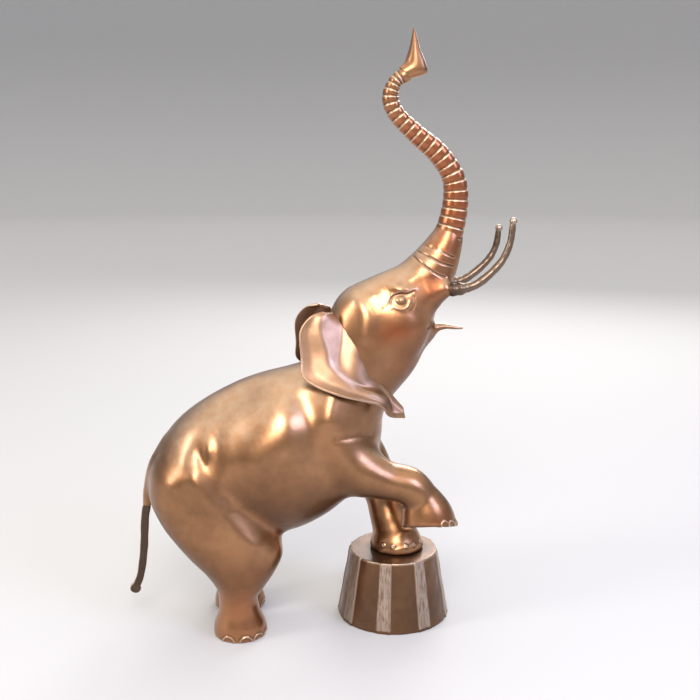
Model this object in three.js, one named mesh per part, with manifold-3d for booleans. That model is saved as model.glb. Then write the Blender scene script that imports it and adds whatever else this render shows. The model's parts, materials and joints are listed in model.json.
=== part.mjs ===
// Elephant doorstop: a hollow-cast circus elephant that rears on its hind feet, with its left
// fore foot on a round tub and its trunk raised. It faces +X, its right side is towards -Y,
// and it stands on the XY plane. Sizes are in millimetres.

import * as THREE from "three";
import { mergeVertices } from "three/addons/utils/BufferGeometryUtils.js";
import Module from "manifold-3d";

// Driving sizes
const FIGURE_HEIGHT = 460;
const TUB_HEIGHT = 55;
const TUB_TOP_RADIUS = 35;
const TUB_FOOT_RADIUS = 44.5;
const TUB_EDGE = 1;
const STRIP_COUNT = 8;
const STRIP_SHARE = 0.34;
const STRIP_RISE = 0.7;
const EAR_THICKNESS = 2.4;
const TUSK_ROOT_RADIUS = 3.9;
const TUSK_TIP_RADIUS = 2.3;
const TUSK_BALL_RADIUS = 2.9;
const BEAD_RADIUS = 4.9;
const TAIL_WIDTH = 6.5;
const TAIL_THICKNESS = 3.2;
const TUFT_WIDTH = 8.6;
const EYE_RADIUS = 4.4;
const NAIL_WIDTH = 5.6;
const NAIL_RISE = 0.9;
const FIT_GAP = 0.3;

// The figure keeps its pose as shares of its own height: points and radii of the figure are
// in hundredths of it, and UNIT turns them into millimetres.
const UNIT = FIGURE_HEIGHT / 100;
const TUB_TOP = (TUB_HEIGHT + FIT_GAP) / UNIT;
const STRIP_TURN = -23;
const SOLE_SPARE = 0.8;
const FAR_AWAY = 5;
const TINY = 1e-9;
const BARELY = 1e-4;

// Limbs and masses: each row is x, y, z, the radius in the side view and the half width.
const TORSO = [
  [-25.0, 0, 25.6, 9.5, 9.2],
  [-20.5, 0, 28.0, 12.0, 10.2],
  [-13.4, 0, 30.0, 13.8, 10.8],
  [-7.5, 0, 33.0, 12.4, 10.2],
  [-4.0, 0, 37.0, 9.6, 8.8],
  [-1.6, 0, 41.5, 7.9, 7.2],
  [1.5, 0, 46.5, 7.0, 6.2],
];
const HIND_LEG = [
  [-23.4, 4.0, 23.2, 9.8, 6.2],
  [-21.6, 4.8, 19.2, 9.4, 5.9],
  [-19.8, 5.3, 14.2, 6.9, 5.2],
  [-19.4, 5.4, 11.0, 5.4, 4.6],
  [-19.3, 5.5, 8.2, 3.8, 3.9],
  [-19.4, 5.5, 5.6, 3.5, 3.7],
  [-19.5, 5.5, 3.2, 4.1, 4.2],
  [-19.5, 5.5, 0.0, 4.6, 4.6],
];
const RAISED_LEG = [
  [-3.2, -4.4, 29.6, 6.2, 5.2],
  [0.6, -5.6, 28.2, 4.6, 4.4],
  [5.2, -6.3, 26.5, 3.3, 3.5],
  [9.0, -6.5, 25.2, 3.1, 3.3],
  [11.2, -6.6, 22.9, 3.0, 3.2],
  [12.8, -6.8, 20.0, 4.0, 3.9],
  [13.2, -6.9, 17.6, 4.5, 4.3],
];
const STANDING_LEG = [
  [-2.4, 4.4, 31.0, 6.6, 5.0],
  [2.8, 4.6, 27.0, 4.4, 4.0],
  [5.8, 3.6, TUB_TOP + 9.6, 3.0, 3.1],
  [7.0, 2.0, TUB_TOP + 5.2, 2.7, 2.8],
  [7.9, 0.7, TUB_TOP + 2.3, 3.5, 3.5],
  [8.3, 0.0, TUB_TOP, 4.6, 4.6],
];
const HEAD = [
  [3.7, 0, 52.2, 7.2, 6.0],
  [7.4, 0, 54.4, 6.6, 5.7],
  [10.8, 0, 57.8, 4.85, 4.5],
  [13.8, 0, 61.2, 4.1, 3.8],
  [16.0, 0, 65.4, 2.9, 3.0],
];
const JAW = [
  [2.6, 0, 44.2, 6.0, 5.6],
  [5.9, 0, 47.8, 6.2, 5.5],
  [8.6, 0, 51.4, 4.8, 4.4],
];
const LOWER_LIP = [
  [9.6, 0, 48.9, 2.6, 2.5],
  [12.4, 0, 50.3, 2.0, 2.1],
  [13.9, 0, 51.0, 1.5, 1.6],
];
const LIP_POINT = [
  [12.6, 0, 50.6, 1.4, 1.5],
  [15.0, 0, 51.4, 1.1, 1.35],
  [17.0, 0, 51.6, 0.55, 0.85],
  [19.1, 0, 50.9, 0.28, 0.4],
];
const TUSK_SOCKET = [
  [11.0, 2.4, 55.8, 2.8, 2.4],
  [15.2, 3.2, 58.1, 1.5, 1.5],
];
const TAIL_DOCK = [
  [-30.5, 0, 32.0, 1.5, 1.9],
  [-32.6, 0, 28.5, 1.6, 1.7],
  [-34.2, 0, 24.6, 1.1, 1.4],
  [-34.8, 0, 21.9, 0.75, 1.0],
];
const CHEEK = { centre: [8.0, 3.0, 51.3], radii: [5.0, 3.2, 4.4], pitch: 40 };

// Carving on the flanks and the face, as strokes seen from the side: points x, z, then the
// half width of the stroke, and how far it sinks (or rises, where it is negative).
const STROKES = [
  { path: [[-26.0, 29.2], [-20.7, 24.7], [-17.1, 19.8], [-13.4, 16.8]], width: 1.7, sink: 0.9 },
  { path: [[-9.6, 38.6], [-7.4, 33.5], [-5.8, 28.5]], width: 1.9, sink: 0.9 },
  { path: [[-13.6, 37.0], [-15.2, 31.5]], width: 3.4, sink: -0.6 },
  { path: [[-25.2, 33.2], [-24.8, 31.8]], width: 1.5, sink: 0.7 },
  { path: [[-28.6, 31.7], [-29.8, 27.6]], width: 1.6, sink: -0.4 },
  { path: [[-5.6, 41.0], [-6.3, 37.5]], width: 1.4, sink: -0.5 },
  { path: [[-3.6, 34.8], [3.2, 34.4]], width: 1.1, sink: 0.5 },
  { path: [[5.4, 57.4], [7.4, 59.0], [9.6, 58.2]], width: 0.9, sink: -0.5 },
  { path: [[6.2, 56.9], [9.2, 57.4]], width: 1.0, sink: 0.45 },
  { path: [[-0.6, 57.2], [0.6, 55.4], [1.4, 53.4]], width: 0.8, sink: -0.4 },
];
const FLANK_START = 1.5;
const FLANK_DEPTH = 2.5;
const EYE_PLACE = [7.75, 57.0];

// The sole of the raised foot passes through this point and leans with the splayed leg.
const RAISED_SOLE = [13.0, -6.6, 18.0];
const RAISED_LEAN = 20;

// Trunk: the centre line with the half depth and the half width, from the root to the tip.
const TRUNK = [
  [15.4, 63.9, 3.0, 3.1],
  [16.4, 66.5, 2.45, 2.6],
  [17.4, 70.4, 2.2, 2.35],
  [17.65, 74.0, 2.05, 2.2],
  [16.9, 77.0, 1.85, 2.05],
  [14.4, 80.4, 1.78, 1.95],
  [10.8, 83.4, 1.58, 1.75],
  [7.7, 86.4, 1.4, 1.6],
  [6.55, 89.0, 1.35, 1.5],
  [7.3, 91.5, 1.2, 1.4],
  [8.9, 92.7, 1.3, 1.4],
];
const RING_COUNT = 24;
const RING_SINK = 0.2;
const RING_START = 0.095;
const RING_END = 0.975;
const RING_CROWDING = 0.144;
const TRUNK_SIDES = 10;

// Trunk tip: for each section its back edge and its front edge in the side view, and its half
// width. The finger is the last of them.
const TIP = [
  { back: [7.9, 93.9], front: [9.9, 92.0], width: 1.4 },
  { back: [8.8, 94.7], front: [12.4, 92.9], width: 1.6 },
  { back: [9.3, 96.0], front: [12.3, 94.5], width: 1.5 },
  { back: [9.7, 97.3], front: [11.4, 96.6], width: 1.1 },
  { back: [10.0, 98.8], front: [10.8, 98.6], width: 0.6 },
  { back: [10.2, 99.95], front: [10.45, 99.9], width: 0.2 },
];
const NOSTRIL = { centre: [12.9, 0, 95.2], radii: [1.7, 0.95, 1.7] };

// Ear: the edge by the head and the free edge, as x, distance from the middle plane, z. The
// sheet is seated a little inside the cheek, and clears the neck and the shoulder by EAR_AIR.
const EAR_INNER = [
  [-3.3, 3.4, 54.6],
  [-1.4, 4.2, 52.2],
  [0.4, 4.5, 49.7],
  [1.5, 4.7, 46.9],
  [2.8, 4.6, 44.0],
  [5.1, 5.6, 42.4],
  [8.0, 6.6, 39.1],
];
const EAR_SEAT = 0.25;
const EAR_AIR = 0.65;
const EAR_OUTER = [
  [-5.0, 4.4, 54.9],
  [-7.2, 5.2, 54.3],
  [-8.9, 5.8, 51.9],
  [-8.8, 6.8, 47.9],
  [-8.7, 7.8, 44.6],
  [-6.8, 8.7, 42.5],
  [-2.8, 9.6, 40.7],
  [1.0, 9.5, 39.7],
  [4.1, 8.8, 38.8],
  [5.3, 8.0, 37.3],
  [8.6, 7.2, 37.2],
];
const EAR_RIDGE = 0.5;
const EAR_STEPS_ACROSS = 7;
const EAR_STEPS_ALONG = 11;

// Tusks: the centre line as x, distance from the middle plane, z. The left one ends lower.
const TUSK_PATH = [
  [14.6, 3.0, 58.0],
  [17.9, 4.1, 58.3],
  [20.9, 4.4, 59.3],
  [24.3, 4.5, 62.4],
  [25.9, 4.5, 65.6],
  [26.4, 4.5, 69.4],
];
const LEFT_TUSK_DROP = 1.8;

// Tail: a flat strip from just below the end of the dock to a round tuft.
const [DOCK_X, , DOCK_Z] = TAIL_DOCK[TAIL_DOCK.length - 1];
const TAIL_PATH = [
  [DOCK_X - (0.22 * FIT_GAP) / UNIT, 0, DOCK_Z - (0.98 * FIT_GAP) / UNIT],
  [-35.3, 0, 19.0],
  [-35.7, 0, 13.5],
  [-36.4, 0, 9.0],
  [-37.4, 0, 6.4],
];

// Toe nails: compass turns about each foot, in degrees from +X for a foot on the right side.
const HIND_NAILS = [-115, -80, -47, -13, 20];
const TUB_NAILS = [-114, -80, -47, -13, 20];
const RAISED_NAILS = [-60, -28, 4, 36];
const FOOT_REACH = 6.5;

// Sampling of the cast body: finer planes through the head than through the rest.
const COARSE = 2.1;
const FINE = 1.55;
const BODY_BOX = { low: [-34.8, -11.6, -1.2], high: [18.2, 11.6, 67.5] };
const FINE_BACK = 1;
const FINE_FRONT = 20;
const FINE_LOW = 47;

// Blocks that cut the soles flat: their edges and depths, in shares of the height.
const FLOOR_CUT = 60;
const FOOT_CUT_LENGTH = 14;
const FOOT_CUT_WIDTH = 8.8;
const CUT_DEPTH = 2.4;
const RAISED_CUT_DEPTH = 1.9;

// A nail's root reaches this share of a sampling step into its foot, and its middle stands
// this share of its width above the sole. The eyeball is sunk by a share of its radius.
const NAIL_ROOT_SHARE = 0.5;
const NAIL_LIFT_SHARE = 0.4;
const EYE_SINK_SHARE = 0.45;

const wasm = await Module();
wasm.setup();

const clamp = (value, low, high) => Math.min(high, Math.max(low, value));
const radians = (degrees) => (degrees * Math.PI) / 180;
const mm = ([x, y, z]) => new THREE.Vector3(x, y, z).multiplyScalar(UNIT);

// Smooth curve through the rows, a fixed number of steps from row to row.
function throughRows(rows, steps) {
  const before = rows[0].map((value, i) => 2 * value - rows[1][i]);
  const last = rows[rows.length - 1];
  const after = last.map((value, i) => 2 * value - rows[rows.length - 2][i]);
  const all = [before, ...rows, after];
  const out = [];
  for (let k = 1; k < all.length - 2; k += 1) {
    for (let j = 0; j < steps; j += 1) {
      const t = j / steps;
      out.push(rows[0].map((_, i) => {
        const [a, b, c, d] = [all[k - 1][i], all[k][i], all[k + 1][i], all[k + 2][i]];
        const square = 2 * a - 5 * b + 4 * c - d;
        const cube = -a + 3 * b - 3 * c + d;
        return 0.5 * (2 * b + (c - a) * t + square * t * t + cube * t * t * t);
      }));
    }
  }
  out.push(last);
  return out;
}

// A point of such a curve at a share of its length, from 0 to 1.
function alongRows(rows, dimensions) {
  const fine = throughRows(rows, 12);
  const travelled = [0];
  for (let k = 1; k < fine.length; k += 1) {
    let sum = 0;
    for (let i = 0; i < dimensions; i += 1) {
      sum += (fine[k][i] - fine[k - 1][i]) ** 2;
    }
    travelled.push(travelled[k - 1] + Math.sqrt(sum));
  }
  const total = travelled[travelled.length - 1];
  return (share) => {
    const goal = clamp(share, 0, 1) * total;
    let k = 1;
    while (k < travelled.length - 1 && travelled[k] < goal) {
      k += 1;
    }
    const t = (goal - travelled[k - 1]) / (travelled[k] - travelled[k - 1]);
    return fine[k].map((value, i) => fine[k - 1][i] + t * (value - fine[k - 1][i]));
  };
}

// A limb: the nearest of the short cones between the rows, each an ellipse in section. Far
// from the limb its distance is that to a box around it.
function limb(rows, steps = 4) {
  const fine = throughRows(rows, steps);
  const cones = fine.slice(1).map((b, k) => {
    const a = fine[k];
    const step = b.map((value, i) => value - a[i]);
    return { a, step, square: step[0] ** 2 + step[1] ** 2 + step[2] ** 2 };
  });
  const reach = (row, i) => (i === 1 ? row[4] : row[3]);
  const low = [0, 1, 2].map((i) => Math.min(...fine.map((row) => row[i] - reach(row, i))));
  const high = [0, 1, 2].map((i) => Math.max(...fine.map((row) => row[i] + reach(row, i))));
  return (x, y, z) => {
    const away = Math.max(low[0] - x, x - high[0], low[1] - y, y - high[1], low[2] - z, z - high[2]);
    if (away > FAR_AWAY) {
      return away;
    }
    let best = Infinity;
    for (const { a, step, square } of cones) {
      const along = (x - a[0]) * step[0] + (y - a[1]) * step[1] + (z - a[2]) * step[2];
      const t = Math.min(1, Math.max(0, along / square));
      const dx = x - a[0] - t * step[0];
      const dy = y - a[1] - t * step[1];
      const dz = z - a[2] - t * step[2];
      const r = a[3] + t * step[3];
      const w = a[4] + t * step[4];
      const plane = dx * dx + dz * dz;
      const side = dy * dy;
      const near = Math.sqrt(plane / (r * r) + side / (w * w));
      const slope = Math.sqrt(plane / (r * r * r * r) + side / (w * w * w * w));
      const here = slope < TINY ? -Math.min(r, w) : (near * (near - 1)) / slope;
      if (here < best) {
        best = here;
      }
    }
    return best;
  };
}

// An ellipsoid whose long axis is raised from +X by a pitch.
function ellipsoid({ centre, radii, pitch = 0 }) {
  const c = Math.cos(radians(pitch));
  const s = Math.sin(radians(pitch));
  return (x, y, z) => {
    const [dx, dy, dz] = [x - centre[0], y - centre[1], z - centre[2]];
    const local = [dx * c + dz * s, dy, dz * c - dx * s];
    const near = Math.hypot(...local.map((value, i) => value / radii[i]));
    const slope = Math.hypot(...local.map((value, i) => value / radii[i] ** 2));
    return (near * (near - 1)) / (slope + TINY);
  };
}

// Two masses run into each other over a length k.
function blend(a, b, k) {
  const h = Math.max(k - Math.abs(a - b), 0) / k;
  return Math.min(a, b) - (h * h * k) / 4;
}

// How strongly a stroke acts at a point of the side view, from 0 to 1.
function strokeWeight({ path, width }, x, z) {
  let nearest = Infinity;
  for (let k = 1; k < path.length; k += 1) {
    const [ax, az] = path[k - 1];
    const [ex, ez] = [path[k][0] - ax, path[k][1] - az];
    const t = clamp(((x - ax) * ex + (z - az) * ez) / (ex * ex + ez * ez), 0, 1);
    nearest = Math.min(nearest, (x - ax - t * ex) ** 2 + (z - az - t * ez) ** 2);
  }
  return Math.exp(-nearest / (width * width));
}

const torso = limb(TORSO);
const hindLeg = limb(HIND_LEG);
const raisedLeg = limb(RAISED_LEG);
const standingLeg = limb(STANDING_LEG);
const head = limb(HEAD);
const jaw = limb(JAW);
const lowerLip = limb(LOWER_LIP);
const tuskSocket = limb(TUSK_SOCKET, 2);
const cheek = ellipsoid(CHEEK);
const leanSin = Math.sin(radians(RAISED_LEAN));
const leanCos = Math.cos(radians(RAISED_LEAN));

// How far a point lies below the sole of the raised foot.
function belowRaisedSole(y, z) {
  return -(y - RAISED_SOLE[1]) * leanSin - (z - RAISED_SOLE[2]) * leanCos;
}

// The cast body without its trunk: negative inside, in hundredths of the height. Each foot
// reaches a little past its sole, which a flat cut then makes.
function castBody(x, y, z) {
  const side = Math.abs(y);
  let shape = torso(x, y, z);
  shape = blend(shape, Math.max(hindLeg(x, side, z), -SOLE_SPARE - z), 2.6);
  const raised = Math.max(raisedLeg(x, y, z), belowRaisedSole(y, z) - SOLE_SPARE);
  shape = blend(shape, raised, 2.2);
  const standing = Math.max(standingLeg(x, y, z), TUB_TOP - SOLE_SPARE - z);
  shape = blend(shape, standing, 2.2);
  let face = blend(head(x, y, z), jaw(x, y, z), 2);
  face = blend(face, cheek(x, side, z), 1.5);
  face = blend(face, lowerLip(x, y, z), 1.2);
  face = blend(face, tuskSocket(x, side, z), 1.6);
  shape = blend(shape, face, 3);
  const flank = clamp((side - FLANK_START) / FLANK_DEPTH, 0, 1);
  if (flank > 0) {
    for (const stroke of STROKES) {
      shape += flank * stroke.sink * strokeWeight(stroke, x, z);
    }
  }
  return shape;
}

// Sampling planes that reach past the body at both ends, closer together in a fine stretch.
function planes(low, high, fine) {
  const out = [low - 1.5 * COARSE];
  while (out[out.length - 1] < high + COARSE) {
    const here = out[out.length - 1];
    out.push(here + (fine(here) ? FINE : COARSE));
  }
  return out;
}

// Slope of a field at a point, by differences.
function slopeAt(field, p) {
  const step = 0.05;
  return [0, 1, 2].map((i) => {
    const ahead = [...p];
    const behind = [...p];
    ahead[i] += step;
    behind[i] -= step;
    return (field(...ahead) - field(...behind)) / (2 * step);
  });
}

// Where the corners of a grid face are inside and outside by turns, the surface would touch
// itself: the corner nearest to it changes sides, until no such face is left.
function settleFaces(values, [nx, ny, nz], at) {
  const pairs = [[[1, 0, 0], [0, 1, 0]], [[0, 1, 0], [0, 0, 1]], [[0, 0, 1], [1, 0, 0]]];
  let changed = true;
  while (changed) {
    changed = false;
    for (let i = 0; i < nx - 1; i += 1) {
      for (let j = 0; j < ny - 1; j += 1) {
        for (let k = 0; k < nz - 1; k += 1) {
          for (const [u, v] of pairs) {
            const face = [
              at(i, j, k),
              at(i + u[0], j + u[1], k + u[2]),
              at(i + u[0] + v[0], j + u[1] + v[1], k + u[2] + v[2]),
              at(i + v[0], j + v[1], k + v[2]),
            ];
            const [a, b, c, d] = face.map((n) => values[n] < 0);
            if (a === c && b === d && a !== b) {
              face.sort((m, n) => Math.abs(values[m]) - Math.abs(values[n]));
              values[face[0]] = values[face[0]] < 0 ? BARELY : -BARELY;
              changed = true;
            }
          }
        }
      }
    }
  }
}

// One vertex for each cell that the surface crosses, moved onto the surface, and two
// triangles for each grid edge that it crosses.
function skin(field, axes) {
  const [xs, ys, zs] = axes;
  const [ny, nz] = [ys.length, zs.length];
  const at = (i, j, k) => (i * ny + j) * nz + k;
  const values = new Float64Array(xs.length * ny * nz);
  xs.forEach((x, i) => ys.forEach((y, j) => zs.forEach((z, k) => {
    values[at(i, j, k)] = field(x, y, z);
  })));
  settleFaces(values, [xs.length, ny, nz], at);
  const cellVertex = new Map();
  const points = [];
  const corners = [0, 1, 2, 3, 4, 5, 6, 7].map((n) => [n & 1, (n >> 1) & 1, (n >> 2) & 1]);
  const edges = [];
  corners.forEach((a) => corners.forEach((b) => {
    const step = b.map((value, i) => value - a[i]);
    if (Math.min(...step) === 0 && step[0] + step[1] + step[2] === 1) {
      edges.push([a, b]);
    }
  }));
  for (let i = 0; i < xs.length - 1; i += 1) {
    for (let j = 0; j < ny - 1; j += 1) {
      for (let k = 0; k < nz - 1; k += 1) {
        const sum = [0, 0, 0];
        let count = 0;
        for (const [a, b] of edges) {
          const fa = values[at(i + a[0], j + a[1], k + a[2])];
          const fb = values[at(i + b[0], j + b[1], k + b[2])];
          if (fa < 0 !== fb < 0) {
            const t = fa / (fa - fb);
            const start = [xs[i + a[0]], ys[j + a[1]], zs[k + a[2]]];
            const end = [xs[i + b[0]], ys[j + b[1]], zs[k + b[2]]];
            start.forEach((value, n) => {
              sum[n] += value + t * (end[n] - value);
            });
            count += 1;
          }
        }
        if (count > 0) {
          cellVertex.set(at(i, j, k), points.length);
          points.push(sum.map((value) => value / count));
        }
      }
    }
  }
  const settled = points.map((start) => {
    let p = start;
    for (let turn = 0; turn < 3; turn += 1) {
      const slope = slopeAt(field, p);
      const steep = slope[0] ** 2 + slope[1] ** 2 + slope[2] ** 2 + TINY;
      const move = slope.map((value) => (-field(...p) * value) / steep);
      const share = Math.min(1, (0.25 * FINE) / (Math.hypot(...move) + TINY));
      p = p.map((value, n) => value + share * move[n]);
    }
    return p;
  });
  const triangles = [];
  const gap = (a, b) => Math.hypot(...settled[a].map((value, n) => value - settled[b][n]));
  for (let i = 1; i < xs.length - 1; i += 1) {
    for (let j = 1; j < ny - 1; j += 1) {
      for (let k = 1; k < nz - 1; k += 1) {
        const inside = values[at(i, j, k)] < 0;
        const next = [[1, 0, 0], [0, 1, 0], [0, 0, 1]];
        next.forEach((step, axis) => {
          const other = values[at(i + step[0], j + step[1], k + step[2])] < 0;
          if (inside === other) {
            return;
          }
          const u = next[(axis + 1) % 3];
          const v = next[(axis + 2) % 3];
          const cell = (m, n) => cellVertex.get(at(
            i - m * u[0] - n * v[0],
            j - m * u[1] - n * v[1],
            k - m * u[2] - n * v[2],
          ));
          let ring = [cell(1, 1), cell(0, 1), cell(0, 0), cell(1, 0)];
          if (!inside) {
            ring = ring.reverse();
          }
          const [a, b, c, d] = ring;
          if (gap(a, c) <= gap(b, d)) {
            triangles.push([a, b, c], [a, c, d]);
          } else {
            triangles.push([a, b, d], [b, c, d]);
          }
        });
      }
    }
  }
  return { points: settled, triangles };
}

// A closed solid from points in millimetres and triangles.
function solidFrom(points, triangles) {
  const vertProperties = new Float32Array(points.flat());
  const triVerts = new Uint32Array(triangles.flat());
  return new wasm.Manifold(new wasm.Mesh({ numProp: 3, vertProperties, triVerts }));
}

// A closed solid from a three.js shape that already stands in its place.
function solidFromShape(geometry) {
  const bare = geometry.clone();
  bare.deleteAttribute("normal");
  bare.deleteAttribute("uv");
  const merged = mergeVertices(bare, 1e-4);
  const points = merged.getAttribute("position").array;
  return new wasm.Manifold(new wasm.Mesh({
    numProp: 3,
    vertProperties: new Float32Array(points),
    triVerts: new Uint32Array(merged.index.array),
  }));
}

// Rings of equally many points, joined in turn and closed by a middle point at both ends.
function loft(rings) {
  const sides = rings[0].length;
  const points = rings.flat().map((p) => [p.x, p.y, p.z]);
  const triangles = [];
  for (let r = 0; r < rings.length - 1; r += 1) {
    for (let s = 0; s < sides; s += 1) {
      const a = r * sides + s;
      const b = r * sides + ((s + 1) % sides);
      triangles.push([a, b, b + sides], [a, b + sides, a + sides]);
    }
  }
  const ends = [[rings[0], 0, true], [rings[rings.length - 1], rings.length - 1, false]];
  for (const [ring, index, first] of ends) {
    const middle = new THREE.Vector3();
    ring.forEach((p) => middle.addScaledVector(p, 1 / sides));
    const hub = points.length;
    points.push([middle.x, middle.y, middle.z]);
    for (let s = 0; s < sides; s += 1) {
      const a = index * sides + s;
      const b = index * sides + ((s + 1) % sides);
      triangles.push(first ? [hub, b, a] : [hub, a, b]);
    }
  }
  const solid = solidFrom(points, triangles);
  const turned = triangles.map(([a, b, c]) => [a, c, b]);
  return solid.volume() > 0 ? solid : solidFrom(points, turned);
}

// A ring about a point: across lies in the side view, and the other axis is Y.
function ring(centre, across, depth, width, sides, flatFront = false) {
  return Array.from({ length: sides }, (_, s) => {
    const turn = (2 * Math.PI * (s + 0.5)) / sides;
    const cos = Math.cos(turn);
    const reach = flatFront && cos < 0 ? -(Math.abs(cos) ** 0.6) : cos;
    const p = centre.clone().addScaledVector(across, reach * depth);
    p.y += Math.sin(turn) * width;
    return p;
  });
}

// The direction across a line of the side view, on its left as one goes along it.
function acrossLine(from, to) {
  return new THREE.Vector3(from.z - to.z, 0, to.x - from.x).normalize();
}

// The trunk: rings swell between the grooves, and the tip ends in a finger.
function makeTrunk() {
  const along = alongRows(TRUNK, 2);
  const stations = [0, RING_START / 2];
  const sinks = [0, 0];
  const groove = (n) => {
    const t = n / (RING_COUNT - 1);
    const eased = (1 + RING_CROWDING) * t - RING_CROWDING * t ** 5;
    return RING_START + (RING_END - RING_START) * eased;
  };
  for (let n = 0; n < RING_COUNT - 1; n += 1) {
    const start = groove(n);
    const step = groove(n + 1) - start;
    stations.push(start, start + 0.25 * step, start + 0.75 * step);
    sinks.push(RING_SINK, 0, 0);
  }
  stations.push(RING_END);
  sinks.push(RING_SINK);
  const rings = stations.map((share, n) => {
    const [x, z, depth, width] = along(share);
    const [ax, az] = along(share - 0.01);
    const [bx, bz] = along(share + 0.01);
    const across = acrossLine(mm([ax, 0, az]), mm([bx, 0, bz]));
    const [d, w] = [(depth - sinks[n]) * UNIT, (width - sinks[n]) * UNIT];
    return ring(mm([x, 0, z]), across, d, w, TRUNK_SIDES, true);
  });
  for (const { back, front, width } of TIP) {
    const a = mm([back[0], 0, back[1]]);
    const b = mm([front[0], 0, front[1]]);
    const middle = a.clone().add(b).multiplyScalar(0.5);
    const across = a.clone().sub(b).normalize();
    const depth = a.distanceTo(b) / 2;
    rings.push(ring(middle, across, depth, width * UNIT, TRUNK_SIDES, true));
  }
  return loft(rings);
}

// A rod that follows rows of x, y, z, half depth and half width, in shares of the height.
function rod(rows, count, sides) {
  const along = alongRows(rows, 3);
  const rings = Array.from({ length: count }, (_, n) => {
    const share = n / (count - 1);
    const [x, y, z, depth, width] = along(share);
    const across = acrossLine(mm(along(share - 0.02)), mm(along(share + 0.02)));
    return ring(mm([x, y, z]), across, depth * UNIT, width * UNIT, sides);
  });
  return loft(rings);
}

// A ball, flattened ball or egg of given half sizes in millimetres.
function ball(centre, halfSizes, across, down) {
  const shape = new THREE.SphereGeometry(1, across, down);
  shape.scale(...halfSizes);
  shape.translate(centre.x, centre.y, centre.z);
  return solidFromShape(shape);
}

// A block of given edges, turned about X and then moved.
function block(size, turnX, centre) {
  const shape = new THREE.BoxGeometry(size.x, size.y, size.z);
  shape.rotateX(turnX);
  shape.translate(centre.x, centre.y, centre.z);
  return solidFromShape(shape);
}

// The last value, from 0 to a furthest one, whose place is still inside the cast body.
function lastInside(place, furthest) {
  let inner = 0;
  let outer = furthest;
  for (let turn = 0; turn < 30; turn += 1) {
    const middle = (inner + outer) / 2;
    if (castBody(...place(middle)) < 0) {
      inner = middle;
    } else {
      outer = middle;
    }
  }
  return inner;
}

// How far the cast surface lies from an inner point, level with it, towards a compass turn.
function reachFrom([x, y, z], degrees, furthest) {
  const [cos, sin] = [Math.cos(radians(degrees)), Math.sin(radians(degrees))];
  return lastInside((reach) => [x + reach * cos, y + reach * sin, z], furthest);
}

// How far the cast surface lies from the middle plane at a point of the side view.
function halfWidthAt(x, z, side) {
  return reachFrom([x, 0, z], side * 90, BODY_BOX.high[1]);
}

// Nails stand round a foot, just above its sole, rooted in it. The sole may lean.
function nails([x, y, z], turns, mirror, lean = 0) {
  const halfDepth = (NAIL_RISE + NAIL_ROOT_SHARE * COARSE * UNIT) / 2;
  return turns.map((plain) => {
    const degrees = mirror * plain;
    const reach = reachFrom([x, y, z], degrees, FOOT_REACH) * UNIT;
    const rise = -reach * Math.sin(radians(degrees)) * Math.tan(radians(lean));
    const flat = new THREE.SphereGeometry(1, 5, 3);
    flat.scale(halfDepth, NAIL_WIDTH / 2, NAIL_WIDTH / 2);
    flat.translate(reach + NAIL_RISE - halfDepth, 0, 0);
    flat.rotateZ(radians(degrees));
    flat.translate(x * UNIT, y * UNIT, z * UNIT + rise);
    return solidFromShape(flat);
  });
}

// Flat soles: the floor, the tub and the lean of the raised foot.
function soleCuts() {
  const deep = CUT_DEPTH * UNIT;
  const wide = FLOOR_CUT * UNIT;
  const long = FOOT_CUT_LENGTH * UNIT;
  const floor = block(new THREE.Vector3(wide, wide, deep), 0, new THREE.Vector3(0, 0, -deep / 2));
  const [tubX, tubY] = STANDING_LEG[STANDING_LEG.length - 1];
  const onTub = mm([tubX, tubY, TUB_TOP]);
  onTub.z -= deep / 2;
  const tub = block(new THREE.Vector3(long, long, deep), 0, onTub);
  const thin = RAISED_CUT_DEPTH * UNIT;
  const under = mm(RAISED_SOLE);
  under.y -= (leanSin * thin) / 2;
  under.z -= (leanCos * thin) / 2;
  const foot = new THREE.Vector3(long, FOOT_CUT_WIDTH * UNIT, thin);
  const raised = block(foot, -radians(RAISED_LEAN), under);
  return [floor, tub, raised];
}

const fineX = (x) => x > FINE_BACK && x < FINE_FRONT;
const fineZ = (z) => z > FINE_LOW;
const axes = [
  planes(BODY_BOX.low[0], BODY_BOX.high[0], fineX),
  planes(BODY_BOX.low[1], BODY_BOX.high[1], () => false),
  planes(BODY_BOX.low[2], BODY_BOX.high[2], fineZ),
];
const bodySkin = skin(castBody, axes);

// The skin in millimetres, moved outwards by a clearance.
function bodyGrownBy(clearance) {
  const points = bodySkin.points.map((p) => {
    const slope = slopeAt(castBody, p);
    const steep = Math.hypot(...slope) + TINY;
    return p.map((value, n) => value * UNIT + (clearance * slope[n]) / steep);
  });
  return solidFrom(points, bodySkin.triangles);
}

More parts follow.
